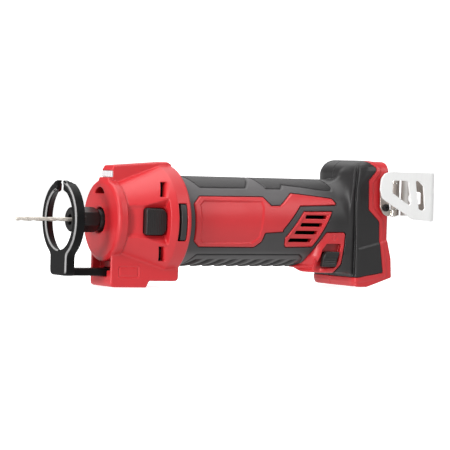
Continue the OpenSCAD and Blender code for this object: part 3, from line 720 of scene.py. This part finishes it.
    slot_pts = [[[133.6 + 4.6 * i, 36.2 + 6.1 * i], [154 + 4.2 * i, 36.2 + 6.1 * i], [155.4 + 4.2 * i, 39 + 6.1 * i],
                 [134.9 + 4.6 * i, 39 + 6.1 * i]] for i in range(4)]

    def painted_shade(v):
        # painted shade inside the grille slots and the switch window
        rr = np.sqrt(v[:, 1] ** 2 + (v[:, 2] - H) ** 2)
        d = np.min([poly(v[:, 0], v[:, 2], q) for q in slot_pts], axis=0)
        a = ramp(34.3 - rr, 0, 0.8) * (d < 0.3)
        if near:
            a = np.maximum(a, ramp(v[:, 1], -33.2, -31.8) * (poly(v[:, 0], v[:, 2], WINDOW) < 0.35))
        return a

    ob = field_object("shell_" + tag, S, g, RED, keep=0.45, attr={"painted_shade": painted_shade})
    put(ob, "housing", "red_shell", "housing_left" if near else "housing_right")

    # rubber: grooved pad outlines on top, slanted ribs below
    d1, d2, dr = poly(X, Z, PAD1), poly(X, Z, PAD2), poly(X, Z, RIBS)
    bump = 0.85 * np.exp(-(d1 / 0.52) ** 2) + 0.85 * np.exp(-(d2 / 0.52) ** 2)
    bump = bump + 0.9 * np.exp(-(dr / 0.52) ** 2)
    bump = np.broadcast_to(bump, (g.n[0], 1, g.n[2]))
    arc = 35.0 * np.arctan2(aY, np.maximum(-z, 0.01))
    u = (X - 0.47 * arc - 74.2) / 10.8
    u = u - np.floor(u)
    # steep side to the left of each ridge, long fall to the right
    saw = np.where(u < 0.12, 1 - u / 0.12, ((u - 0.12) / 0.88) ** 1.5)
    ribs = 2.0 * saw * ramp(-dr, 0.2, 1.0) * ramp(-z, 27.6, 29.2)
    grip_only = ramp(188.0 - X, 0, 4)
    Bo = B + bump * (z > 10) * grip_only + (bump * (z < -10) + ribs) * ramp(156.5 - X, 0, 1)
    O = smax(Bo, -red_zone + 0.28, 0.7)
    O = np.maximum(O, -(B + 2.35))
    O = O + 0.22 * np.exp(-(Y / 0.3) ** 2)
    O = np.maximum(O, -np.maximum(slots, 20 - aY))
    if not near:
        O = smax(O, -np.maximum(hole, 17 - Y), 0.5)
    O = np.maximum(O, (Y + 0.0) if near else (0.04 - Y))

    def pad(v):
        a = poly(v[:, 0], v[:, 2], PAD1)
        b = poly(v[:, 0], v[:, 2], PAD2)
        c = poly(v[:, 0], v[:, 2], RIBS)
        d = np.minimum(np.where(v[:, 2] > H, np.minimum(a, b), 9), np.where(v[:, 2] < H, c, 9))
        return ramp(-d, 0.4, 1.2) * np.where(v[:, 2] > H, 1.0, 0.35)

    def painted_shade(v):
        # painted shade on the floor of the grooves and of the ribs
        x, y, zz = v[:, 0], np.abs(v[:, 1]), v[:, 2] - H
        a = np.exp(-(poly(x, v[:, 2], PAD1) / 0.5) ** 2) + np.exp(-(poly(x, v[:, 2], PAD2) / 0.5) ** 2)
        c = poly(x, v[:, 2], RIBS)
        uu = (x - 0.47 * 35.0 * np.arctan2(y, np.maximum(-zz, 0.01)) - 74.2) / 10.8
        uu = uu - np.floor(uu)
        sw = np.where(uu < 0.12, 1 - uu / 0.12, (np.maximum(uu - 0.12, 0) / 0.88) ** 1.5)
        b = np.exp(-(c / 0.5) ** 2) + 0.85 * sw * ramp(-c, 0.2, 1.0) * ramp(-zz, 27.6, 29.2)
        m = np.where(zz > 0, a * (x < 187), b * (x < 156))
        # painted shade on the grip below its upper part, less in the rib zone, none at the dock
        m = m + 0.62 * ramp(20 - zz, 0, 9) * (1 - 0.85 * ramp(-zz, 21, 26)) * (1 - ramp(x, 176, 194))
        if near:
            # painted shade along the upright crease beside the dock corner
            t = ((x - 192.9) - (v[:, 1] + 35.2)) * 0.7071
            m = m + 0.85 * np.exp(-(t / 0.75) ** 2) * (x > 187) * (y > 28) * ramp(97.0 - v[:, 2], 0, 10)
        return np.clip(m, 0, 1)

    ob = field_object("rubber_" + tag, O, g, RUBBER, keep=0.5, attr={"pad": pad, "painted_shade": painted_shade})
    put(ob, "housing", "rubber", "grip_left" if near else "grip_right")


make_side(-1)
make_side(1)


# ---------------------------------------------------------------- depth guide


def make_guide():
    g = Grid((-50.1, -30.0, 7.6), (10.8, 30.0, 80.5), h_fine)
    X, Y, Z = g.X, g.Y, g.Z
    z = Z - H
    R = np.sqrt(Y * Y + z * z)
    aY = np.abs(Y)
    flat = R - 29.2
    stem = poly(Y, Z, fillet([[-13.4, 8.3], [13.4, 8.3], [13.4, H - 14], [-13.4, H - 14]], [4.6, 4.6, 0, 0], 6))
    flat = smin(flat, stem, 3.0)
    flat = smax(flat, 22.8 - R, 0.5)
    lugs = np.maximum(np.maximum(R - 29.2, 20.2 - R), np.maximum(aY - 9.6, 10 - z))
    flat = smin(flat, lugs, 2.5)
    flat = smax(flat, np.where(z > 5, 4.8 + 0.17 * np.maximum(28.6 - z, 0) - aY, -9), 0.6)
    F = slab(flat, X, -49.4, -41.4, 0.5)
    F = smax(F, (flat - 49.4 - X) * 0.7071 + 0.62, 0.12)
    F = smax(F, np.where(z > 8, X + 46.6 - 0.22 * np.maximum(z - 20, 0) - 7.0 * ramp(aY, 8.0, 14.5), -9), 0.8)
    # the hole widens towards the back
    wide = 22.8 + 0.6 * np.maximum(X + 47.4, 0) * (1 - ramp(z, 8, 16) * (1 - ramp(aY, 10, 14)))
    F = smax(F, np.where(z > -28, (wide - R) * 0.857, -9), 0.3)
    arm = slab(rect(Y, Z, -9, 9, 8.3, 13.9, 1.3), X, -46, 10, 0.8)
    F = smin(F, arm, 3.4)
    F = np.maximum(F, 8.3 - Z)
    # shallow rolled edge on the front face
    F = F + 0.3 * np.exp(-((R - 26.0) / 1.3) ** 2) * ramp(-X, 48.3, 49.1) * (Z > 30)

    def painted_edge_highlight(v):
        # painted highlight on the front chamfers: outer edge of the near limb, inner edge of the far limb
        y, zz = v[:, 1], v[:, 2] - H
        rr = np.sqrt(y * y + zz * zz)
        st = poly(y, v[:, 2], fillet([[-13.4, 8.3], [13.4, 8.3], [13.4, H - 14], [-13.4, H - 14]], [4.6, 4.6, 0, 0], 6))
        fl = smax(smin(rr - 29.2, st, 3.0), 22.8 - rr, 0.5)
        c = np.abs((fl - 49.4 - v[:, 0]) * 0.7071 + 0.62)
        outer = smin(rr - 29.2, st, 3.0) > 22.8 - rr
        return (1 - ramp(c, 0.06, 0.22)) * ramp(v[:, 2], 9.5, 12.0) * np.where(y < 0, outer, ~outer)

    ob = field_object("guide_foot", F, g, GUIDE, keep=0.7, attr={"painted_edge_highlight": painted_edge_highlight})
    return put(ob, "guide", "black_steel", "depth_guide")


make_guide()


# ---------------------------------------------------------------- nut, bit


def make_nut():
    g = Grid((-40.9, -10.4, H - 10.4), (-17.8, 10.4, H + 10.4), h_tiny)
    X, Y, Z = g.X, g.Y, g.Z
    z = Z - H
    R = np.sqrt(Y * Y + z * z)
    turn = math.radians(6)
    hexa = None
    for k in range(6):
        a = turn + math.radians(30 + 60 * k)
        d = z * math.cos(a) + Y * math.sin(a) - 9.7 * math.cos(math.pi / 6)
        hexa = d if hexa is None else smax(hexa, d, 0.25)
    # turned corners at both ends of the hexagon
    hexa = smax(hexa, R - 9.75 + 0 * X, 0.3)
    hx = smax(hexa, np.maximum(-31.6 - X, X + 18.5), 0.4)
    hx = smax(hx, (R - 9.0) * 0.8 - (X + 33.4) * 0.45, 0.3)
    hx = smax(hx, (R - 8.9) * 0.86 + (X + 19.1) * 0.5, 0.3)
    F = revolve(g, fillet([(-40.3, -3), (-40.3, 8.0), (-39.2, 9.3), (-32.2, 9.3), (-31.4, 8.7), (-30, 8.7), (-30, -3)], [0, 0.6, 0.6, 0.5, 0.3, 0, 0]), step=0.1)
    F = np.minimum(F, hx)
    groove = np.exp(-((X + 36.2) / 0.35) ** 2) * 0.3
    F = F + groove * (R > 7)
    F = smax(F, -revolve(g, [(-42, -3), (-42, 4.4), (-40.3, 4.4), (-39.8, 3.9), (-38.6, 3.9), (-35.6, 5.1), (-34, 5.1), (-33.4, 6.08), (-17, 6.08), (-17, -3)], step=0.1), 0.3)
    ob = field_object("clamp_nut", F, g, NUT, keep=0.6)
    return put(ob, "spindle", "black_steel", "collet_nut")


make_nut()


def make_bit():
    n, rings, lead = 40, 190, 20.0
    x0, x1, xs = -85.1, -16.0, -44.5
    verts, faces = [], []
    xs_list = np.concatenate([np.linspace(x0, x0 + 1.4, 8)[:-1], np.linspace(x0 + 1.4, xs, rings), np.linspace(xs + 0.4, x1, 26)])
    for x in xs_list:
        tw = 2 * math.pi * (x - x0) / lead
        depth = float(ramp(np.array(-x), 43.5, 47.5))
        tip = min(1.0, 0.14 + (x - x0) / 1.5)
        for k in range(n):
            a = 2 * math.pi * k / n
            c = 0.5 + 0.5 * math.cos(2 * (a - tw))
            r = 1.6 * (1 - 0.32 * depth * c ** 1.9)
            # sharp land on the trailing side of each flute
            s = 0.5 + 0.5 * math.cos(2 * (a - tw) - 2.2)
            r = min(1.6, r + 0.1 * depth * s ** 6)
            if depth <= 0:
                r = 1.55
            r *= tip
            verts.append((x, r * math.cos(a), H + r * math.sin(a)))
    m = len(xs_list)
    for i in range(m - 1):
        for k in range(n):
            k2 = (k + 1) % n
            faces.append((i * n + k, i * n + k2, (i + 1) * n + k2, (i + 1) * n + k))
    verts.append((x0, 0, H))
    verts.append((x1, 0, H))
    for k in range(n):
        k2 = (k + 1) % n
        faces.append((len(verts) - 2, k2, k))
        faces.append((len(verts) - 1, (m - 1) * n + k, (m - 1) * n + k2))
    ob = mesh_object("spiral_bit", verts, faces, BITM)
    return put(ob, "spindle", "bright_steel", "cutting_bit")


make_bit()


# ---------------------------------------------------------------- light, lock, switch, bars


def make_lens():
    g = Grid((-11.0, -9.0, H + 32.0), (-4.4, 9.0, H + 39.0), h_tiny)
    X, Y, Z = g.X, g.Y, g.Z
    z = Z - H
    body = box(X, Y, z, -9.9, -5, -6.9, 6.9, 32.6, 37.4, 0.3)
    plate = box(X, Y, z, -9.95, -9.38, -8.4, 8.4, 32.6, 37.4, 0.2)
    F = np.minimum(body, plate)
    for i in range(7):
        c = np.sqrt((X + 9.1) ** 2 + (Y + 7.2 - 2.4 * i) ** 2) - 1.14
        F = np.minimum(F, smax(c, np.abs(z - 35.0) - 2.35, 0.3))
    ob = field_object("lamp_lens", F, g, LENS)
    return put(ob, "housing", "clear_lens", "led_lens")


make_lens()


def make_button():
    g = Grid((6.0, -36.6, H - 12.2), (28.2, -25.2, H + 12.2), h_tiny)
    X, Y, Z = g.X, g.Y, g.Z
    z = Z - H
    out = poly(X, z, fillet([[6.9, -10], [24.3, -10], [24.3, 10], [6.9, 10]], [1.0, 6.0, 6.0, 1.0], 6))
    crown = 0.5 * ((X - 15.6) / 9) ** 2 + 0.5 * (z / 10) ** 2
    ribs = 0.24 * (0.5 - 0.5 * np.cos(2 * np.pi * (X - 8.2) / 1.5)) * ramp(-out, 0.8, 1.6)
    top = -Y - 36.0 + crown + ribs
    F = smax(smax(out, top, 1.1), Y + 25.9, 0.3)
    fl = slab(rect(X, z, 6.6, 27.6, -11.6, 11.6, 1.0), Y, -27.2, -25.8, 0.2)
    F = np.minimum(F, fl)
    F = np.maximum(F, -np.maximum(np.sqrt((X - 17) ** 2 + z * z) - 2.02, -31 - Y))
    ob = field_object("lock_cap", F, g, BLACK, keep=0.6)
    return put(ob, "lock", "black_plastic", "lock_button")


make_button()


def make_coil():
    n, m, turns, r = 10, 22, 7, 0.36
    verts, faces = [], []
    rows = m * turns + 1
    for i in range(rows):
        a = 2 * math.pi * i / m
        y = -25.2 + 6.1 * i / (rows - 1)
        for k in range(n):
            b = 2 * math.pi * k / n
            q = 3.0 + r * math.cos(b)
            verts.append((17 + q * math.cos(a), y + r * math.sin(b), H + q * math.sin(a)))
    for i in range(rows - 1):
        for k in range(n):
            k2 = (k + 1) % n
            faces.append((i * n + k, i * n + k2, (i + 1) * n + k2, (i + 1) * n + k))
    faces.append(tuple(range(n)))
    faces.append(tuple((rows - 1) * n + k for k in reversed(range(n))))
    ob = mesh_object("lock_coil", verts, faces, BRIGHT)
    put(ob, "housing", "bright_steel", "lock_spring")
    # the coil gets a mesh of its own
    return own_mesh(ob)


make_coil()


def make_slider():
    g = Grid((160, -37.4, 14.4), (183, -27.6, 31.4), h_tiny)
    X, Y, Z = g.X, g.Y, g.Z
    out = poly(X, Z, fillet([[165.6, 26.8], [168.2, 29.2], [179.6, 29], [176.4, 17], [163.2, 17]], [1.2, 1.0, 0.8, 0.8, 0.8], 4))
    t = (Z - 17) / 12.0
    face = -Y - 36.6 + 1.2 * np.exp(-((t - 0.5) / 0.36) ** 2)
    face = face + 0.16 * (0.5 - 0.5 * np.cos(2 * np.pi * (Z - 17.4) / 1.7)) * ramp(-out, 0.9, 1.8)
    F = smax(smax(out, face, 1.3), Y + 31.9, 0.2)
    stem = box(X, Y, Z, 168.4, 171.6, -32.4, -29.4, 21.2, 23.6, 0.2)
    F = np.minimum(F, stem)
    ob = field_object("switch_thumb", F, g, BLACK, keep=0.6)
    return put(ob, "switch", "black_plastic", "switch_slider")


make_slider()


def make_baffle():
    g = Grid((31.0, -44.0, H - 40.4), (40.4, 44.0, H + 40.4), 0.4)
    X, Y, Z = g.X, g.Y, g.Z
    z = Z - H
    R = np.sqrt(Y * Y + z * z)
    tube = np.maximum(np.maximum(R - 39.4, 37.6 - R), np.abs(X - 35.5) - 3.8)
    pad = slab(rect(X, z, 33.1, 37.8, -13.6, 13.6, 0.5), R, 38, 42.7, 0.6)
    pad = np.maximum(pad, 30 - np.abs(Y))
    F = np.minimum(tube, pad)
    ob = field_object("vent_bars", F, g, BARS, keep=0.5)
    return put(ob, "housing", "black_plastic", "air_baffle")


make_baffle()


# ---------------------------------------------------------------- hook and bracket


def make_hook():
    g = Grid((203.9, -53.7, 53.4), (259.9, -37.0, 94.0), h_fine * 0.85)
    X, Y, Z = g.X, g.Y, g.Z
    leg = poly(X, Z, fillet([[213.4, 93.2], [256, 93.2], [256, 54.2], [235.7, 55.9], [228.7, 60.3], [219.9, 64.6], [207.2, 71.6],
                             [204.7, 78.8], [205.6, 87.4], [208.6, 91.3]], [5, 0, 0, 6, 12, 20, 5, 5, 4, 4], 5))
    ha = poly(X, Z, fillet([[216.4, 86.1], [230.8, 86.3], [234.3, 68.9], [232.4, 66.9], [216.2, 76.6]], [1.2, 2.2, 2, 2, 1.2], 5))
    hb = poly(X, Z, fillet([[238.1, 86.1], [240.6, 86.5], [245.6, 82.6], [247.6, 64.3], [245.2, 62.6], [241.7, 64.2], [239.4, 78]],
                           [1, 2, 3, 1.6, 1.6, 1.6, 3], 5))
    leg = np.maximum(leg, -np.minimum(ha, hb))
    outer = slab(np.maximum(leg, X - 252.4), Y, -52.95, -51.4, 0.28)
    inn = np.maximum(rect(X, Z, 226.2, 256, 58.4, 91, 0.6), X - 252.4)
    slot = rect(X, Z, 230.8, 233.2, 50, 87, 1.1)
    hole = np.sqrt(np.maximum(np.abs(X - 247) - 2.4, 0) ** 2 + (Z - 72.5) ** 2) - 5
    inn = np.maximum(inn, -np.minimum(slot, hole))
    inner = slab(inn, Y, -41.1, -39.5, 0.28)
    r = np.sqrt((X - 252.4) ** 2 + (Y + 46.25) ** 2)
    lowz = np.interp((Y * 1.0)[0, :, 0], [-53, -39.5], [54.2, 58.4]).astype(np.float32)[None, :, None]
    topz = np.interp((Y * 1.0)[0, :, 0], [-53, -39.5], [93.2, 91.0]).astype(np.float32)[None, :, None]
    fold = np.maximum(np.maximum(np.abs(r - 5.92) - 0.78, 252.2 - X), np.maximum(Z - topz, lowz - Z))
    F = smin(smin(outer, inner, 0.15), fold, 0.15)
    kn = np.maximum(np.sqrt((X - 226.2) ** 2 + (Y + 40.3) ** 2) - 2.6, np.abs(Z - 73.5) - 10.1)
    F = smin(F, kn, 0.6)
    F = np.maximum(F, -(np.sqrt((X - 226.2) ** 2 + (Y + 40.3) ** 2) - 1.46))
    clear = np.maximum(np.abs(X - 226.3) - 3.1, np.maximum(np.abs(Y + 40.5) - 4.5, 10.1 - np.abs(Z - 73.5)))
    F = np.maximum(F, -clear)

    def painted_shade(v):
        # painted shade on the faces inside the fold, left out in an upright band near x 237.5
        return ramp(v[:, 1], -51.5, -50.6) * ramp(257.0 - v[:, 0], 0, 3) * (1 - 0.7 * np.exp(-((v[:, 0] - 237.5) / 2.6) ** 2))

    ob = field_object("hook_strap", F, g, SHEET, keep=0.6, attr={"painted_shade": painted_shade})
    return put(ob, "hook", "sheet_steel", "hang_hook")


make_hook()


def make_bracket():
    g = Grid((213.4, -43.4, 57.2), (229.4, -37.2, 90.6), h_tiny * 1.1)
    X, Y, Z = g.X, g.Y, g.Z
    out = poly(X, Z, fillet([[214, 74], [214.1, 64.5], [217, 59.5], [220, 57.8], [224, 57.8], [224, 90], [217, 90], [214, 87]],
                            [0, 3, 3, 2, 0, 0, 2, 2], 4))
    F = slab(out, Y, -39.4, -37.7, 0.25)
    pin = np.sqrt((X - 226.2) ** 2 + (Y + 40.3) ** 2)
    for z0 in (57.8, 83.9):
        kn = slab(pin - 2.6, Z, z0, z0 + 5.3, 0.2)
        ear = box(X, Y, Z, 221, 226.2, -39.4, -37.7, z0, z0 + 5.3)
        F = np.minimum(F, smin(kn, ear, 0.4))
    F = np.maximum(F, -(pin - 1.42))
    F = np.maximum(F, -box(X, Y, Z, 222.6, 231, -46, -36, 63.1, 83.9))
    for z0 in (64.4, 83):
        F = np.maximum(F, -(np.sqrt((X - 219.1) ** 2 + (Z - z0) ** 2) - 1.8))
    ob = field_object("hook_plate", F, g, PLATED)
    return put(ob, "housing", "sheet_steel", "hook_bracket")


make_bracket()


def screw_head(r, t, star):
    """Button head with a six lobed recess, its top facing -Y at y = -t."""
    g = Grid((-r - 0.3, -t - 0.3, -r - 0.3), (r + 0.3, 0.4, r + 0.3), 0.12)
    X, Y, Z = g.X, g.Y, g.Z
    R = np.sqrt(X * X + Z * Z)
    F = smax(R - r, -Y - t + 0.09 * R * R / r, 0.5)
    F = np.maximum(F, Y)
    a = np.arctan2(Z, X)
    F = smax(F, -np.maximum(R - star * (1 + 0.16 * np.cos(6 * a)), Y + 0.35 * t), 0.15)
    return F, g


def make_screws():
    F, g = screw_head(3.0, 1.75, 1.35)
    head = field_object("screw_seed_a", F, g, DARK)
    F, g = screw_head(2.9, 2.4, 1.4)
    head_b = field_object("screw_seed_b", F, g, DARK)

    def copies(name, seed, places, shaft_r, flip, ends, body, slot, node):
        src = seed.data
        n = len(src.vertices)
        co = np.empty(n * 3, np.float32)
        src.vertices.foreach_get("co", co)
        co = co.reshape(-1, 3) * 1000
        quads = np.array([p.vertices[:] for p in src.polygons])
        V, Q, base = [], [], 0
        for (px, py, pz) in places:
            v = co.copy()
            q = quads
            if flip:
                v[:, 1] = -v[:, 1]
                q = quads[:, ::-1]
            V.append(v + np.array([px, py, pz]))
            Q += [tuple(int(i) + base for i in f) for f in q]
            base += n
            # threaded shank
            rings, m = 60, 20
            ys = np.linspace(ends[0], ends[1], rings)
            sh = []
            for i, y in enumerate(ys):
                for k in range(m):
                    a = 2 * math.pi * k / m
                    rr = shaft_r - 0.28 * (0.5 + 0.5 * math.cos(2 * math.pi * (y / 1.1) + a))
                    sh.append((px + rr * math.cos(a), y, pz + rr * math.sin(a)))
            sh.append((px, ends[0], pz))
            sh.append((px, ends[1], pz))
            V.append(np.array(sh))
            for i in range(rings - 1):
                for k in range(m):
                    k2 = (k + 1) % m
                    f = (base + i * m + k, base + (i + 1) * m + k, base + (i + 1) * m + k2, base + i * m + k2)
                    Q.append(f if ends[1] > ends[0] else f[::-1])
            for k in range(m):
                k2 = (k + 1) % m
                a, b = (base + rings * m, base + k, base + k2), (base + rings * m + 1, base + (rings - 1) * m + k2, base + (rings - 1) * m + k)
                Q += [a if ends[1] > ends[0] else a[::-1], b if ends[1] > ends[0] else b[::-1]]
            base += rings * m + 2
        ob = mesh_object(name, np.concatenate(V), Q, DARK)
        return put(ob, body, slot, node)

    copies("hook_fasteners", head, [(219.1, -39.45, z) for z in (64.4, 83)], 1.58, False, (-39.44, -28.5), "housing", "dark_steel", "hook_screws")
    copies("shell_fasteners", head_b, [(x, 18.0, z) for x, z in SCREWS], 1.48, True, (-15.0, 18.05), "housing", "dark_steel", "housing_screws")
    for o in (head, head_b):
        me = o.data
        bpy.data.objects.remove(o)
        bpy.data.meshes.remove(me)


make_screws()


# ---------------------------------------------------------------- carried over pieces

slot_of = {s["node"]: s["material_slot"] for s in frame["record"]["subparts"]}
for name, ob in nodes.items():
    mat = SLOT_MAT[slot_of[name]]
    ob.data.materials.clear()
    ob.data.materials.append(mat)
nodes["collet"].data.materials.clear()
nodes["collet"].data.materials.append(NUT)
nodes["armature_shaft"].data.materials.clear()
nodes["armature_shaft"].data.materials.append(DARK)
for name in ("armature_shaft", "collet", "terminal_block", "terminal_blades", "hook_pin", "motor_can", "guide_pad", "lock_collar"):
    ob = nodes[name]
    w = ob.modifiers.new("weld", "WELD")
    w.merge_threshold = 1e-6
    b = ob.modifiers.new("bevel", "BEVEL")
    b.width = 0.00018 if name != "motor_can" else 0.0004
    b.segments = 2
    b.limit_method = "ANGLE"
    b.angle_limit = math.radians(35)


# ---------------------------------------------------------------- camera, floor, light


def make_camera():
    a, e, r = math.radians(30.0), math.radians(1.43), math.radians(-1.62)
    dist = 1.8
    aim = Vector((0.09505, 0.0, 0.04782))
    back = Vector((-math.sin(a) * math.cos(e), -math.cos(a) * math.cos(e), math.sin(e)))
    right = Vector((math.cos(a), -math.sin(a), 0.0))
    up = back.cross(right)
    R = right * math.cos(r) - up * math.sin(r)
    U = up * math.cos(r) + right * math.sin(r)
    m = Matrix((R, U, back)).transposed().to_4x4()
    m.translation = aim + back * dist
    cam = bpy.data.cameras.new("camera")
    cam.lens, cam.sensor_width, cam.sensor_fit = 184.1, 36.0, "AUTO"
    cam.clip_end = 50
    ob = bpy.data.objects.new("camera", cam)
    bpy.context.scene.collection.objects.link(ob)
    ob.matrix_world = m
    bpy.context.scene.camera = ob


make_camera()


def make_floor():
    me = bpy.data.meshes.new("floor")
    s = 12.0
    me.from_pydata([(-s, -s, -0.0004), (s, -s, -0.0004), (s, s, -0.0004), (-s, s, -0.0004)], [], [(0, 1, 2, 3)])
    ob = bpy.data.objects.new("floor", me)
    bpy.context.scene.collection.objects.link(ob)
    m = bpy.data.materials.new("pale_floor")
    m.use_nodes = True
    nt = m.node_tree
    bs = nt.nodes["Principled BSDF"]
    tc = nt.nodes.new("ShaderNodeTexCoord")
    n = nt.nodes.new("ShaderNodeTexNoise")
    n.inputs["Scale"].default_value = 3.0
    cr = nt.nodes.new("ShaderNodeValToRGB")
    cr.color_ramp.elements[0].color = (0.9, 0.9, 0.9, 1)
    cr.color_ramp.elements[1].color = (0.93, 0.93, 0.93, 1)
    nt.links.new(tc.outputs["Object"], n.inputs["Vector"])
    nt.links.new(n.outputs["Fac"], cr.inputs["Fac"])
    nt.links.new(cr.outputs["Color"], bs.inputs["Base Color"])
    bs.inputs["Roughness"].default_value = 0.9
    bs.inputs["Specular IOR Level"].default_value = 0.1
    bs.inputs["Emission Color"].default_value = (1, 1, 1, 1)
    bs.inputs["Emission Strength"].default_value = 0.85
    me.materials.append(m)
    # the ground only makes the picture white, the lamps light the tool
    ob.visible_diffuse = False
    ob.visible_glossy = False


make_floor()


def area(name, loc, target, size, power, size_y=None):
    li = bpy.data.lights.new(name, "AREA")
    li.shape = "RECTANGLE"
    li.size = size
    li.size_y = size_y or size
    li.energy = power
    ob = bpy.data.objects.new(name, li)
    bpy.context.scene.collection.objects.link(ob)
    ob.location = loc
    d = Vector(target) - Vector(loc)
    ob.rotation_euler = d.to_track_quat("-Z", "Y").to_euler()
    return ob


area("key", (-0.95, -0.51, 0.95), (0.06, 0, 0.05), 0.7, 9.8)
area("side", (-1.3, -0.45, 0.12), (0.0, 0, 0.04), 0.32, 13.0, 0.4)
area("top", (0.1, 0.0, 1.1), (0.1, 0, 0.05), 0.9, 6.0)
area("right", (0.8, -0.75, 0.7), (0.2, 0, 0.06), 0.6, 3.4)
area("rim", (0.36, 0.8, 1.0), (0.1, 0, 0.05), 1.1, 4.0)


def make_backdrop():
    """White cloth far behind the tool, so the picture's ground stays white."""
    me = bpy.data.meshes.new("backdrop")
    v, f = [], []
    n = 24
    for i in range(n + 1):
        a = math.radians(-20 + 100.0 * i / n)
        for z in (-0.2, 6.0):
            v.append((9.0 * math.sin(a), 9.0 * math.cos(a), z))
    for i in range(n):
        f.append((2 * i, 2 * i + 1, 2 * i + 3, 2 * i + 2))
    me.from_pydata(v, [], f)
    ob = bpy.data.objects.new("backdrop", me)
    bpy.context.scene.collection.objects.link(ob)
    m = bpy.data.materials.new("white_cloth")
    m.use_nodes = True
    nt = m.node_tree
    bs = nt.nodes["Principled BSDF"]
    tc = nt.nodes.new("ShaderNodeTexCoord")
    no = nt.nodes.new("ShaderNodeTexNoise")
    no.inputs["Scale"].default_value = 2.0
    cr = nt.nodes.new("ShaderNodeValToRGB")
    cr.color_ramp.elements[0].color = (0.97, 0.97, 0.97, 1)
    cr.color_ramp.elements[1].color = (1, 1, 1, 1)
    nt.links.new(tc.outputs["Object"], no.inputs["Vector"])
    nt.links.new(no.outputs["Fac"], cr.inputs["Fac"])
    nt.links.new(cr.outputs["Color"], bs.inputs["Base Color"])
    nt.links.new(cr.outputs["Color"], bs.inputs["Emission Color"])
    bs.inputs["Emission Strength"].default_value = 1.0
    me.materials.append(m)
    # the ground only makes the picture white, the lamps light the tool
    ob.visible_diffuse = False
    ob.visible_glossy = False


make_backdrop()

world = bpy.data.worlds.new("studio")
world.use_nodes = True
bg = world.node_tree.nodes["Background"]
bg.inputs["Color"].default_value = (1, 1, 1, 1)
# soft light all round, stronger from below like a pale table
wt = world.node_tree
wc = wt.nodes.new("ShaderNodeTexCoord")
wx = wt.nodes.new("ShaderNodeSeparateXYZ")
wr = wt.nodes.new("ShaderNodeMapRange")
wr.inputs["From Min"].default_value = -0.15
wr.inputs["From Max"].default_value = 0.15
wr.inputs["To Min"].default_value = 0.86
wr.inputs["To Max"].default_value = 0.26
wt.links.new(wc.outputs["Generated"], wx.inputs["Vector"])
wt.links.new(wx.outputs["Z"], wr.inputs["Value"])
wt.links.new(wr.outputs["Result"], bg.inputs["Strength"])
bpy.context.scene.world = world
bpy.context.scene.view_settings.view_transform = "Standard"
bpy.context.scene.view_settings.look = "None"
